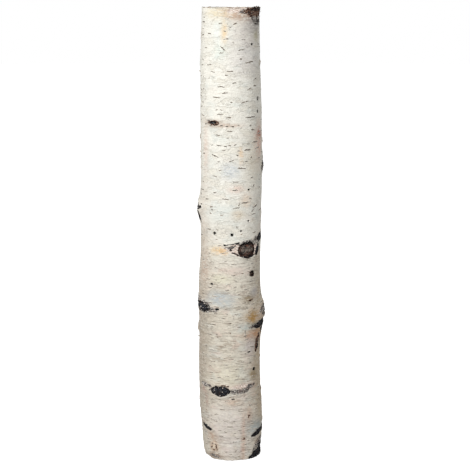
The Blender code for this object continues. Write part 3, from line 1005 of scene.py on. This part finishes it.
def curl_material(looks):
    """Peeling paper, cream outside and tan towards its torn edge."""
    material, tree, shader = start_material("peeling_paper")
    vector = object_vector(tree)
    paper, relief = bark_paper(tree, vector, looks)
    torn = rise(tree, calc(tree, "ADD", value_of(tree, "torn"),
                           calc(tree, "MULTIPLY", grain(tree, vector, 2), 0.5)),
                0.75, 1.15)
    edge = blend(tree, grain(tree, vector, 1.5), colour(looks.inner_dark), colour(looks.inner_light))
    connect(tree, blend(tree, torn, paper, edge), shader, "Base Color")
    shader.inputs["Roughness"].default_value = 0.6
    connect(tree, bump(tree, relief, 0.2, 0.4), shader, "Normal")
    return material


def splinter_material(looks):
    """Torn bark fibres at the saw cuts."""
    material, tree, shader = start_material("torn_fibre")
    vector = object_vector(tree)
    threads = grain(tree, vector, 1.2, (1, 1, 0.4), 3.0, 0.6)
    rusty = blend(tree, rise(tree, threads, 0.35, 0.65), colour(looks.fibre_dark), colour(looks.fibre_light))
    pale = blend(tree, rise(tree, threads, 0.35, 0.65), colour(looks.inner_dark), colour(looks.paper_lower))
    connect(tree, blend(tree, value_of(tree, "dark"), pale, rusty), shader, "Base Color")
    shader.inputs["Roughness"].default_value = 0.8
    connect(tree, bump(tree, threads, 0.2, 0.5), shader, "Normal")
    return material


# ---------------------------------------------------------------------------------------------------------
# Geometry Nodes building

GEOMETRY, OBJECT, MATERIAL = "NodeSocketGeometry", "NodeSocketObject", "NodeSocketMaterial"


def new_tree(name, inputs):
    """An empty geometry tree with named inputs, and its input and output nodes."""
    tree = bpy.data.node_groups.new(name, "GeometryNodeTree")
    tree.interface.new_socket("Geometry", in_out="INPUT", socket_type=GEOMETRY)
    for label, kind, default in inputs:
        socket = tree.interface.new_socket(label, in_out="INPUT", socket_type=kind)
        if default is not None:
            socket.default_value = default
    tree.interface.new_socket("Geometry", in_out="OUTPUT", socket_type=GEOMETRY)
    return tree, tree.nodes.new("NodeGroupInput").outputs, tree.nodes.new("NodeGroupOutput").inputs


def run_tree(name, source, tree, inputs):
    """Runs a geometry tree on a source object, removes the source and returns the result as a piece."""
    modifier = source.modifiers.new(name, "NODES")
    modifier.node_group = tree
    for socket in tree.interface.items_tree:
        if socket.in_out == "INPUT" and socket.name in inputs:
            modifier[socket.identifier] = inputs[socket.name]
    graph = bpy.context.evaluated_depsgraph_get()
    mesh = bpy.data.meshes.new_from_object(source.evaluated_get(graph), depsgraph=graph)
    source.modifiers.remove(modifier)
    bpy.data.objects.remove(source)
    return object_from(name, mesh)


def stored(tree, name, kind="FLOAT"):
    return add(tree, "GeometryNodeInputNamedAttribute", {"Name": name}, data_type=kind).outputs["Attribute"]


def object_geometry(tree, socket):
    return add(tree, "GeometryNodeObjectInfo", {"Object": socket},
               transform_space="ORIGINAL").outputs["Geometry"]


def facing(tree, axis, direction, rotation=None):
    """A rotation that turns one axis of an instance to a direction."""
    inputs = {"Vector": direction}
    if rotation is not None:
        inputs["Rotation"] = rotation
    node = add(tree, "FunctionNodeAlignRotationToVector", inputs, axis=axis)
    return node.outputs["Rotation"]


def pressed_on(tree, geometry, stem, lift):
    """Moves every point to the stem's surface and lifts it off by its own height."""
    position = add(tree, "GeometryNodeInputPosition").outputs[0]
    near = add(tree, "GeometryNodeProximity", {"Geometry": stem, "Sample Position": position},
               target_element="FACES")
    normal = add(tree, "GeometryNodeInputNormal").outputs[0]
    surface = add(tree, "GeometryNodeSampleNearestSurface",
                  {"Mesh": stem, "Value": normal, "Sample Position": position},
                  data_type="FLOAT_VECTOR").outputs["Value"]
    raised = add(tree, "ShaderNodeVectorMath", {0: surface, 3: lift}, operation="SCALE").outputs[0]
    place = add(tree, "ShaderNodeVectorMath", {0: near.outputs["Position"], 1: raised},
                operation="ADD").outputs[0]
    return add(tree, "GeometryNodeSetPosition", {"Geometry": geometry, "Position": place}).outputs[0]


def close_tree(tree, result, geometry, material, smooth=True):
    """Ends a tree: instances made real, shading and the material."""
    real = add(tree, "GeometryNodeRealizeInstances", {"Geometry": geometry}).outputs[0]
    shaded = add(tree, "GeometryNodeSetShadeSmooth", {"Geometry": real, "Shade Smooth": smooth}).outputs[0]
    final = add(tree, "GeometryNodeSetMaterial", {"Geometry": shaded, "Material": material}).outputs[0]
    tree.links.new(final, result["Geometry"])


def lenticel_tree():
    """Presses a lip onto the stem at each seed point, as long and as steep as the seed says."""
    tree, given, result = new_tree("Lenticels", (
        ("Lip", OBJECT, None), ("Stem", OBJECT, None), ("Lip Height", FLOAT, 0.0004),
        ("Wobble", FLOAT, 0.001),
        ("Material", MATERIAL, None)))
    lip, stem = object_geometry(tree, given["Lip"]), object_geometry(tree, given["Stem"])
    rotation = facing(tree, "X", stored(tree, "along", "FLOAT_VECTOR"),
                      facing(tree, "Z", stored(tree, "out", "FLOAT_VECTOR")))
    size = add(tree, "ShaderNodeCombineXYZ", {
        "X": stored(tree, "length"), "Y": stored(tree, "width"), "Z": 1.0}).outputs[0]
    placed = add(tree, "GeometryNodeInstanceOnPoints", {
        "Points": given["Geometry"], "Instance": lip, "Rotation": rotation, "Scale": size}).outputs[0]
    real = add(tree, "GeometryNodeRealizeInstances", {"Geometry": placed}).outputs[0]
    place = add(tree, "GeometryNodeInputPosition").outputs[0]
    drift = add(tree, "ShaderNodeTexNoise", {"Vector": place, "Scale": 420.0, "Detail": 2.0}).outputs["Color"]
    drift = add(tree, "ShaderNodeVectorMath", {0: drift, 1: (0.5, 0.5, 0.5)}, operation="SUBTRACT").outputs[0]
    drift = add(tree, "ShaderNodeVectorMath", {0: drift, 3: given["Wobble"]}, operation="SCALE").outputs[0]
    uneven = add(tree, "GeometryNodeSetPosition", {"Geometry": real, "Offset": drift}).outputs[0]
    lift = calc(tree, "MULTIPLY", stored(tree, "lift"), given["Lip Height"])
    close_tree(tree, result, pressed_on(tree, uneven, stem, lift), given["Material"])
    return tree


def crumb_tree():
    """Scatters crumbs where the stem's crust value is high, laid along the surface."""
    tree, given, result = new_tree("Crust Crumbs", (
        ("Crumb", OBJECT, None), ("Crumbs per Square Metre", FLOAT, 100000.0), ("Smallest", FLOAT, 0.0006),
        ("Largest", FLOAT, 0.0019), ("Seed", "NodeSocketInt", 0), ("Material", MATERIAL, None)))
    crust = add(tree, "ShaderNodeMapRange",
                {"Value": stored(tree, "rough"), "From Min": 0.62, "From Max": 0.9})
    density = calc(tree, "MULTIPLY", crust.outputs["Result"], given["Crumbs per Square Metre"])
    scatter = add(tree, "GeometryNodeDistributePointsOnFaces", {
        "Mesh": given["Geometry"], "Density": density, "Seed": given["Seed"]}, distribute_method="RANDOM")
    turn = add(tree, "FunctionNodeRandomValue", {0: (-0.5, -0.5, -math.pi), 1: (0.5, 0.5, math.pi),
                                                  "Seed": given["Seed"]}, data_type="FLOAT_VECTOR").outputs[0]
    rotation = add(tree, "FunctionNodeRotateRotation", {
        "Rotation": scatter.outputs["Rotation"], "Rotate By": turn}, rotation_space="LOCAL").outputs[0]
    size = add(tree, "FunctionNodeRandomValue", {2: given["Smallest"], 3: given["Largest"],
                                                  "Seed": given["Seed"]}, data_type="FLOAT").outputs[1]
    placed = add(tree, "GeometryNodeInstanceOnPoints", {
        "Points": scatter.outputs["Points"], "Instance": object_geometry(tree, given["Crumb"]),
        "Rotation": rotation, "Scale": size}).outputs[0]
    # About one crumb in seven is marked pale: a painted highlight on the crust.
    pale = add(tree, "FunctionNodeRandomValue", {"Probability": 0.14, "Seed": given["Seed"]},
               data_type="BOOLEAN").outputs[3]
    marked = add(tree, "GeometryNodeStoreNamedAttribute", {"Geometry": placed, "Name": "pale", "Value": pale},
                 data_type="FLOAT", domain="INSTANCE").outputs[0]
    close_tree(tree, result, marked, given["Material"], smooth=False)
    return tree


def splinter_tree():
    """Stands a splinter at each seed point, as long as the seed says."""
    tree, given, result = new_tree("Torn Fibres", (("Splinter", OBJECT, None), ("Material", MATERIAL, None)))
    rotation = facing(tree, "Z", stored(tree, "along", "FLOAT_VECTOR"))
    size = add(tree, "ShaderNodeCombineXYZ", {
        "X": stored(tree, "width"), "Y": stored(tree, "width"), "Z": stored(tree, "length")}).outputs[0]
    placed = add(tree, "GeometryNodeInstanceOnPoints", {
        "Points": given["Geometry"], "Instance": object_geometry(tree, given["Splinter"]),
        "Rotation": rotation, "Scale": size}).outputs[0]
    close_tree(tree, result, placed, given["Material"], smooth=False)
    return tree


# ---------------------------------------------------------------------------------------------------------
# Small shapes that the trees repeat, and the points they stand on


def lip_shape():
    """One lenticel, 1 long and 1 wide: a lens whose shoulders rise and whose middle sinks to a slit."""
    bm = bmesh.new()
    lift = bm.verts.layers.float.new("lift")
    slit = bm.verts.layers.float.new("slit")
    steps = 10
    lifts, slits = (-0.9, 0.8, 0.9, 0.1, 0.6, 0.6, -0.9), (0, 0.1, 0.75, 1, 0.75, 0.1, 0)
    sides = (-0.5, -0.37, -0.22, 0.0, 0.22, 0.38, 0.5)
    rows = []
    for step in range(1, steps):
        x = step / steps - 0.5
        wide = (1 - (2 * x) ** 2) ** 0.6
        row = []
        for side, high, open_ in zip(sides, lifts, slits):
            vert = bm.verts.new((x, side * wide, 0))
            vert[lift], vert[slit] = high if high < 0 else high * wide, open_ * min(1, wide * 1.3)
            row.append(vert)
        rows.append(row)
    for near, far in pairwise(rows):
        for i in range(len(sides) - 1):
            bm.faces.new((near[i], far[i], far[i + 1], near[i + 1]))
    for x, row in ((-0.5, rows[0]), (0.5, rows[-1])):
        tip = bm.verts.new((x, 0, 0))
        tip[lift], tip[slit] = -0.9, 0
        for i in range(len(sides) - 1):
            corners = (tip, row[i], row[i + 1])
            bm.faces.new(corners if x < 0 else tuple(reversed(corners)))
    bmesh.ops.recalc_face_normals(bm, faces=bm.faces)
    return shape_object("lip_shape", bm)


def crumb_shape():
    """One crumb of crust, 1 across: a flattened lump with flat facets."""
    bm = bmesh.new()
    bmesh.ops.create_icosphere(bm, subdivisions=1, radius=0.5)
    for vert in bm.verts:
        vert.co *= 1 + 0.35 * noise.noise(vert.co * 3.1)
        vert.co.z *= 0.55
    return shape_object("crumb_shape", bm)


def splinter_shape():
    """One torn fibre, 1 long: a thin three-sided spike."""
    bm = bmesh.new()
    bmesh.ops.create_cone(bm, cap_ends=True, segments=3, radius1=0.5, radius2=0.12, depth=1)
    bmesh.ops.translate(bm, verts=bm.verts, vec=(0, 0, 0.35))
    return shape_object("splinter_shape", bm)


def shape_object(name, bm):
    mesh = bpy.data.meshes.new(name)
    bm.to_mesh(mesh)
    bm.free()
    return object_from(name, mesh)


def surface_point(bearing, height_mm):
    """A point on the finished stem's side and the way it faces."""
    height = np.array([height_mm * MM])
    relief, _ = side_relief(np.array([float(bearing)]), height)
    radius = PLAIN_STEM.radius(np.array([bearing]), height + LOW.z)[0] + relief[0] * MM
    way = outward(bearing)
    return way * radius + Vector((0, 0, height[0] + LOW.z)), way


def seed_object(name, points, vectors, floats):
    """Loose points that carry vectors and numbers for a tree to read."""
    mesh = bpy.data.meshes.new(name)
    mesh.from_pydata([tuple(point) for point in points], [], [])
    for key, rows in vectors.items():
        flat = np.array([tuple(row) for row in rows], np.float32).ravel()
        mesh.attributes.new(key, "FLOAT_VECTOR", "POINT").data.foreach_set("vector", flat)
    add_values(mesh, {key: np.array(row) for key, row in floats.items()})
    return object_from(name, mesh)


def clear_of_marks(bearing, height_mm, gap_mm):
    depths = mark_depths(np.array([float(bearing)]), np.array([height_mm * MM]))
    return max(depths[kind][0] for kind in KINDS) < -gap_mm


def scattered_lenticels(count, rng):
    """Random bearings, heights and lengths that keep off the marks and each other."""
    taken = [row[:3] for row in CLEAR_LENTICELS]
    found = []
    while len(found) < count:
        bearing = rng.uniform(-180, 180)
        height = rng.uniform(6, LENGTH / MM - 6) if rng.random() < 0.55 else rng.uniform(6, 300)
        length = rng.triangular(LENTICEL_LENGTH[0], 4.5, LENTICEL_LENGTH[1])
        at_front = abs(bearing) < 62 and 315 < height < 600
        if at_front and rng.random() < 0.88:
            continue
        near = any(
            abs(turn_between(bearing, other)) * DEGREE_MM < (length + wide) * 0.62 and abs(height - high) < 3.6
            for other, high, wide in taken
        )
        if not near and clear_of_marks(bearing, height, 2.0):
            taken.append((bearing, height, length))
            found.append((bearing, height, length))
    return found


def lenticel_seeds(count):
    """The seed points of all lenticels. High on the stem they are dark, and lower down they pale."""
    rng = np.random.default_rng(SEED)
    points, along, out, length, width, tone = [], [], [], [], [], []
    for bearing, height, long, *slope in (*CLEAR_LENTICELS, *scattered_lenticels(count, rng)):
        point, way = surface_point(bearing, height)
        level = Vector((0, 0, 1)).cross(way)
        steep = math.radians(slope[0] if slope else rng.normal(0, SLIGHT_SLOPE))
        points.append(point)
        out.append(way)
        along.append(level * math.cos(steep) + Vector((0, 0, math.sin(steep))))
        length.append(long * MM)
        fullness = 0.7 + 0.3 * smooth_step(290, 330, height)
        width.append((1.7 + 0.05 * long + rng.uniform(-0.3, 0.4)) * fullness * MM)
        tone.append(float(np.clip(0.55 + 0.45 * smooth_step(300, 360, height) + rng.normal(0, 0.2), 0, 1)))
    vectors = {"along": along, "out": out}
    return seed_object("lenticel_seeds", points, vectors, {"length": length, "width": width, "tone": tone})


def curl_places(rng):
    """Where each strip of paper peels: bearing, height, length, loose width and slope of its hinge."""
    places = list(CURLS)
    while len(places) < len(CURLS) + FAR_CURLS:
        bearing, height = rng.uniform(85, 285), rng.uniform(15, 595)
        slope = rng.choice((0, 90)) + rng.normal(0, 12)
        places.append((bearing, height, rng.uniform(6, 16), rng.uniform(1.2, 3.2), slope))
    return places


def add_curl(bm, torn, bearing, height, length, loose, slope):
    """One strip of paper, still joined along its hinge, that rolls away from the stem to a torn edge."""
    steps, turns, roll = 14, 6, 2.3
    slope = math.radians(slope)
    along = (math.cos(slope), math.sin(slope))
    rows = []
    for step in range(steps + 1):
        share = step / steps - 0.5
        ragged = 0.75 + 0.5 * noise.noise((share * 5, bearing, height))
        taper = max(0.05, math.cos(math.pi * share)) ** 0.6 * ragged
        across_mm, up_mm = along[0] * share * length, along[1] * share * length
        hinge, way = surface_point(bearing + across_mm / DEGREE_MM,
                                   min(max(height + up_mm, 0.5), LENGTH / MM - 0.5))
        level = Vector((0, 0, 1)).cross(way)
        lean = (Vector((0, 0, 1)) * along[0] - level * along[1]).normalized()
        radius = loose * taper * MM / roll
        row = []
        for turn in range(turns + 1):
            angle = roll * turn / turns
            place = hinge + lean * math.sin(angle) * radius + way * ((1 - math.cos(angle)) * radius + 0.05 * MM)
            row.append(bm.verts.new(place))
            row[-1][torn] = turn / turns
        rows.append(row)
    for near, far in pairwise(rows):
        for i in range(turns):
            bm.faces.new((near[i], far[i], far[i + 1], near[i + 1]))


def curl_mesh():
    bm = bmesh.new()
    torn = bm.verts.layers.float.new("torn")
    for place in curl_places(np.random.default_rng(SEED + 1)):
        add_curl(bm, torn, *place)
    bmesh.ops.solidify(bm, geom=bm.faces[:], thickness=CURL_THICKNESS)
    bmesh.ops.recalc_face_normals(bm, faces=bm.faces[:])
    mesh = bpy.data.meshes.new("paper_curls")
    bm.to_mesh(mesh)
    bm.free()
    mesh.shade_smooth()
    mesh.set_sharp_from_angle(angle=math.radians(45))
    return mesh


def splinter_seeds(count):
    """Seed points of torn fibres: thick on the brown patch under the top rim, thin round both rims."""
    rng = np.random.default_rng(SEED + 2)
    points, along, length, width, dark = [], [], [], [], []
    top = LENGTH / MM
    while len(points) < count:
        patch = len(points) < count * 0.5
        bearing = rng.uniform(28, 84) if patch else rng.uniform(-180, 180)
        if patch:
            height = top - 0.5 - rng.exponential(4.0)
        else:
            height = top - 0.3 if rng.random() < 0.6 else 0.6
        point, way = surface_point(bearing, height)
        level = Vector((0, 0, 1)).cross(way)
        upright = -1 if height < top / 2 else 1
        lean = way * rng.uniform(0.02, 0.3 if patch else 0.06) + level * rng.normal(0, 0.9 if patch else 1.4)
        points.append(point - way * 0.25 * MM)
        along.append((lean + Vector((0, 0, upright * rng.uniform(0.05, 0.5)))).normalized())
        length.append(rng.uniform(1.0, 4.0) * MM if patch else rng.uniform(0.6, 1.4) * MM)
        dark.append(float(patch))
        width.append(rng.uniform(0.25, 0.7) * MM)
    return seed_object("splinter_seeds", points, {"along": along}, {
        "length": length, "width": width, "dark": dark})


# ---------------------------------------------------------------------------------------------------------
# Settings


def tint(name, description, default):
    """A colour that the user can change."""
    return FloatVectorProperty(name=name, description=description, default=default, subtype="COLOR", min=0,
                               max=1)


class BirchLooks(bpy.types.PropertyGroup):
    paper_upper: tint("Upper Paper", "Colour of the clean bark high on the stem", (0.83, 0.81, 0.735))
    paper_lower: tint("Lower Paper", "Colour of the weathered bark low on the stem", (0.68, 0.625, 0.525))
    # The lower paper colour is darker partly as painted shade of the light falling off towards the foot.
    paper_blush: tint("Blush", "Colour of the pinkish clouds in the bark", (0.70, 0.56, 0.48))
    paper_under: tint("Under Layer", "Colour of the layer that shows where the paper has flaked",
                      (0.73, 0.69, 0.59))
    line_colour: tint("Lines", "Colour of the thin level lines", (0.30, 0.225, 0.16))
    inner_light: tint("Inner Bark, Light", "Light tone of bared inner bark", (0.86, 0.77, 0.69))
    inner_dark: tint("Inner Bark, Dark", "Dark tone of bared inner bark", (0.36, 0.23, 0.17))
    heart_light: tint("Knot, Red", "Red-brown tone of the knot wood", (0.17, 0.08, 0.055))
    heart_dark: tint("Knot, Dark", "Dark tone of the knot wood", (0.012, 0.008, 0.008))
    heart_grey: tint("Knot, Grey", "Weathered tone of the knot wood", (0.23, 0.20, 0.17))
    fibre_light: tint("Fibre, Light", "Light tone of torn fibres", (0.22, 0.10, 0.06))
    fibre_dark: tint("Fibre, Dark", "Dark tone of torn fibres", (0.03, 0.017, 0.012))
    slit_dark: tint("Lenticel Slit, Dark", "Slit colour of the darkest lenticels", (0.11, 0.085, 0.065))
    slit_pale: tint("Lenticel Slit, Pale", "Slit colour of the palest lenticels", (0.30, 0.22, 0.155))
    wood_light: tint("Wood, Light", "Light tone of the sawn wood", (0.74, 0.60, 0.42))
    wood_warm: tint("Wood, Warm", "Warm tone of the sawn wood", (0.62, 0.45, 0.28))
    wood_ring: tint("Late Wood", "Colour of the growth rings", (0.38, 0.24, 0.13))
    phloem_light: tint("Bark Section, Light", "Light tone of the bark's section", (0.30, 0.16, 0.09))
    phloem_dark: tint("Bark Section, Dark", "Dark tone of the bark's section", (0.10, 0.045, 0.025))
    ring_count: FloatProperty(name="Growth Rings", description="Rings from pith to bark", default=27, min=3,
                              max=80)


class BirchDetail(bpy.types.PropertyGroup):
    lenticels: IntProperty(name="Lenticels", description="Scattered lenticels besides the clear ones",
                           default=700,
                           min=0, max=2000)
    lip_height: FloatProperty(name="Lip Height", description="How far a lenticel's lips stand off the bark",
                              default=0.0004, min=0, max=0.002, unit="LENGTH")
    lip_wobble: FloatProperty(name="Lip Wobble", description="How uneven a lenticel's outline is",
                              default=0.0026,
                              min=0, max=0.01, unit="LENGTH")
    crumb_density: FloatProperty(name="Crumb Density", description="Crumbs on a square metre of crust",
                                 default=150000, min=0, max=1000000)
    crumb_size: FloatProperty(name="Crumb Size", description="Width of the largest crumb of crust",
                              default=0.0021, min=0.0002, max=0.01, unit="LENGTH")
    splinters: IntProperty(name="Splinters", description="Torn fibres at the saw cuts", default=420, min=0,
                           max=3000)


class BirchStage(bpy.types.PropertyGroup):
    eye_distance: FloatProperty(name="Camera Distance", description="From the stem's axis to the camera",
                                default=1.95, unit="LENGTH")
    eye_side: FloatProperty(name="Camera Offset", description="How far right of the axis the camera stands",
                            default=0.004, unit="LENGTH")
    eye_pitch: FloatProperty(name="Camera Pitch", description="How far down the camera looks",
                             default=math.radians(8.89), subtype="ANGLE")
    eye_lens: FloatProperty(name="Focal Length", description="Focal length on a 36 mm sensor, in millimetres",
                            default=111.64, min=10, max=400)
    key_power: FloatProperty(name="Key Power", description="Power of the big soft light", default=46.5,
                             unit="POWER")
    fill_power: FloatProperty(name="Fill Power", description="Power of the light opposite", default=10,
                              unit="POWER")
    back_power: FloatProperty(name="Back Power", description="Power of the light behind", default=20,
                              unit="POWER")
    sky: FloatProperty(name="Surround", description="Strength of the light from all round", default=0.42)


# ---------------------------------------------------------------------------------------------------------
# Operators


class BIRCH_OT_materials(bpy.types.Operator):
    """Build the shared node groups and the materials"""

    bl_idname = "birch.materials"
    bl_label = "Materials"

    def execute(self, context):
        looks = context.scene.birch_looks
        bark_streaks_group()
        ragged_edge_group()
        crust_colour_group()
        curly_lines_group()
        bark_material(looks)
        end_grain_material(looks)
        lenticel_material(looks)
        crust_material()
        curl_material(looks)
        splinter_material(looks)
        return {"FINISHED"}


class BIRCH_OT_stem(bpy.types.Operator):
    """Build the stem: bark with its scars, knots and holes, and the two sawn ends"""

    bl_idname = "birch.stem"
    bl_label = "Stem"

    def execute(self, context):
        bm = stem_cage()
        refine(bm)
        places, bearing, height, values = shape_stem(bm)
        mesh = bpy.data.meshes.new("birch_stem")
        bm.to_mesh(mesh)
        bm.free()
        mesh.attributes.remove(mesh.attributes["ring"])
        mesh.vertices.foreach_set("co", places.astype(np.float32).ravel())
        add_values(mesh, values)
        wash = mesh.attributes.new("wash", "FLOAT_COLOR", "POINT")
        wash.data.foreach_set("color", wash_colours(bearing, height).astype(np.float32).ravel())
        add_stem_map(mesh, bearing, height, values["ring"])
        mesh.materials.append(bpy.data.materials["birch_bark"])
        mesh.materials.append(bpy.data.materials["birch_end_grain"])
        on_end = values["ring"] < 0.9999
        for polygon in mesh.polygons:
            polygon.material_index = int(any(on_end[list(polygon.vertices)]))
        mesh.shade_smooth()
        mesh.set_sharp_from_angle(angle=math.radians(55))
        mesh.update()
        stem = object_from("birch_stem", mesh)
        finish_piece(stem, NODE)
        return {"FINISHED"}


class BIRCH_OT_lenticels(bpy.types.Operator):
    """Press the lenticels onto the bark"""

    bl_idname = "birch.lenticels"
    bl_label = "Lenticels"

    def execute(self, context):
        detail = context.scene.birch_detail
        lip = lip_shape()
        piece = run_tree("lenticels", lenticel_seeds(detail.lenticels), lenticel_tree(), {
            "Lip": lip, "Stem": bpy.data.objects["birch_stem"], "Lip Height": detail.lip_height,
            "Wobble": detail.lip_wobble,
            "Material": bpy.data.materials["lenticel_cork"]})
        bpy.data.objects.remove(lip)
        finish_piece(piece)
        return {"FINISHED"}


class BIRCH_OT_crumbs(bpy.types.Operator):
    """Scatter crumbs of crust over the scars"""

    bl_idname = "birch.crumbs"
    bl_label = "Crust Crumbs"

    def execute(self, context):
        detail = context.scene.birch_detail
        crumb = crumb_shape()
        ground = object_from("crumb_ground", bpy.data.objects["birch_stem"].data.copy())
        piece = run_tree("crust_crumbs", ground, crumb_tree(), {
            "Crumb": crumb, "Crumbs per Square Metre": detail.crumb_density, "Largest": detail.crumb_size,
            "Seed": SEED, "Material": bpy.data.materials["crust_crumb"]})
        bpy.data.objects.remove(crumb)
        finish_piece(piece)
        return {"FINISHED"}


class BIRCH_OT_curls(bpy.types.Operator):
    """Peel strips of paper off the bark"""

    bl_idname = "birch.curls"
    bl_label = "Paper Curls"

    def execute(self, context):
        piece = object_from("paper_curls", curl_mesh())
        piece.data.materials.append(bpy.data.materials["peeling_paper"])
        finish_piece(piece)
        return {"FINISHED"}


class BIRCH_OT_splinters(bpy.types.Operator):
    """Fray the rims of the saw cuts"""

    bl_idname = "birch.splinters"
    bl_label = "Splinters"

    def execute(self, context):
        detail = context.scene.birch_detail
        splinter = splinter_shape()
        piece = run_tree("rim_splinters", splinter_seeds(detail.splinters), splinter_tree(), {
            "Splinter": splinter, "Material": bpy.data.materials["torn_fibre"]})
        bpy.data.objects.remove(splinter)
        finish_piece(piece)
        return {"FINISHED"}


def white_world(strength):
    """A surround that is white to the camera and gives an even light of its own strength."""
    world = bpy.data.worlds.new("pale_surround")
    world.use_nodes = True
    tree = world.node_tree
    tree.nodes.clear()
    to_camera = add(tree, "ShaderNodeLightPath").outputs["Is Camera Ray"]
    brightness = blend_value(tree, to_camera, strength, 1.0)
    background = add(tree, "ShaderNodeBackground", {"Color": (1, 1, 1, 1), "Strength": brightness})
    add(tree, "ShaderNodeOutputWorld", {"Surface": background.outputs[0]})
    bpy.context.scene.world = world


def floor_material():
    """A pale floor that keeps a faint shadow and gives little light back."""
    material, tree, shader = start_material("pale_floor")
    to_camera = add(tree, "ShaderNodeLightPath").outputs["Is Camera Ray"]
    connect(tree, blend(tree, to_camera, (0.45, 0.44, 0.43, 1), (0.55, 0.55, 0.55, 1)), shader, "Base Color")
    shader.inputs["Roughness"].default_value = 0.9
    shader.inputs["Specular IOR Level"].default_value = 0.0
    shader.inputs["Emission Color"].default_value = (1, 1, 1, 1)
    connect(tree, calc(tree, "MULTIPLY", to_camera, 0.86), shader, "Emission Strength")
    return material


def aimed_light(name, place, target, size, power):
    """A square soft light that faces a point."""
    data = bpy.data.lights.new(name, "AREA")
    data.shape = "RECTANGLE"
    data.size, data.size_y = size
    data.energy = power
    light = object_from(name, data)
    light.location = place
    light.rotation_euler = (Vector(target) - Vector(place)).to_track_quat("-Z", "Y").to_euler()
    return light


class BIRCH_OT_stage(bpy.types.Operator):
    """Set up the pale floor, the soft lights and the camera"""

    bl_idname = "birch.stage"
    bl_label = "Stage"

    def execute(self, context):
        scene, stage = context.scene, context.scene.birch_stage
        scene.view_settings.view_transform = "Standard"
        white_world(stage.sky)
        bm = bmesh.new()
        bmesh.ops.create_circle(bm, cap_ends=True, segments=96, radius=14)
        bmesh.ops.translate(bm, verts=bm.verts, vec=(0, 0, LOW.z))
        floor = shape_object("floor", bm)
        floor.data.materials.append(floor_material())
        middle = (0, 0, LENGTH * 0.55)
        aimed_light("key", (-1.25, -1.7, 1.5), middle, (0.8, 0.8), stage.key_power)
        aimed_light("fill", (1.9, -1.3, 0.9), middle, (1.2, 1.6), stage.fill_power)
        aimed_light("back", (0.5, 2.2, 1.5), middle, (1.4, 1.4), stage.back_power)
        camera = object_from("camera", bpy.data.cameras.new("camera"))
        camera.data.lens = stage.eye_lens
        camera.data.sensor_width = 36
        camera.location = (stage.eye_side, -stage.eye_distance, HIGH.z)
        camera.rotation_euler = (math.pi / 2 - stage.eye_pitch, 0, 0)
        scene.camera = camera
        return {"FINISHED"}


class BIRCH_PT_panel(bpy.types.Panel):
    """The steps that make the pole, in order"""

    bl_label = "Birch Pole"
    bl_idname = "BIRCH_PT_panel"
    bl_space_type = "VIEW_3D"
    bl_region_type = "UI"
    bl_category = "Birch Pole"

    def draw(self, context):
        column = self.layout.column()
        for operator in OPERATORS:
            column.operator(operator.bl_idname)
        for group, names in ((context.scene.birch_looks, BirchLooks),
                             (context.scene.birch_detail, BirchDetail),
                             (context.scene.birch_stage, BirchStage)):
            box = self.layout.box()
            for name in names.__annotations__:
                box.prop(group, name)


OPERATORS = (
    BIRCH_OT_materials, BIRCH_OT_stem, BIRCH_OT_lenticels, BIRCH_OT_crumbs, BIRCH_OT_curls,
    BIRCH_OT_splinters,
    BIRCH_OT_stage,
)
SETTINGS = {"birch_looks": BirchLooks, "birch_detail": BirchDetail, "birch_stage": BirchStage}


def register():
    for cls in (*SETTINGS.values(), *OPERATORS, BIRCH_PT_panel):
        bpy.utils.register_class(cls)
    for name, group in SETTINGS.items():
        setattr(bpy.types.Scene, name, PointerProperty(type=group))


def unregister():
    for name in SETTINGS:
        delattr(bpy.types.Scene, name)
    for cls in reversed((*SETTINGS.values(), *OPERATORS, BIRCH_PT_panel)):
        bpy.utils.unregister_class(cls)


def main():
    register()
    bpy.ops.birch.materials()
    bpy.ops.birch.stem()
    bpy.ops.birch.lenticels()
    bpy.ops.birch.crumbs()
    bpy.ops.birch.curls()
    bpy.ops.birch.splinters()
    bpy.ops.birch.stage()


if __name__ == "__main__":
    main()
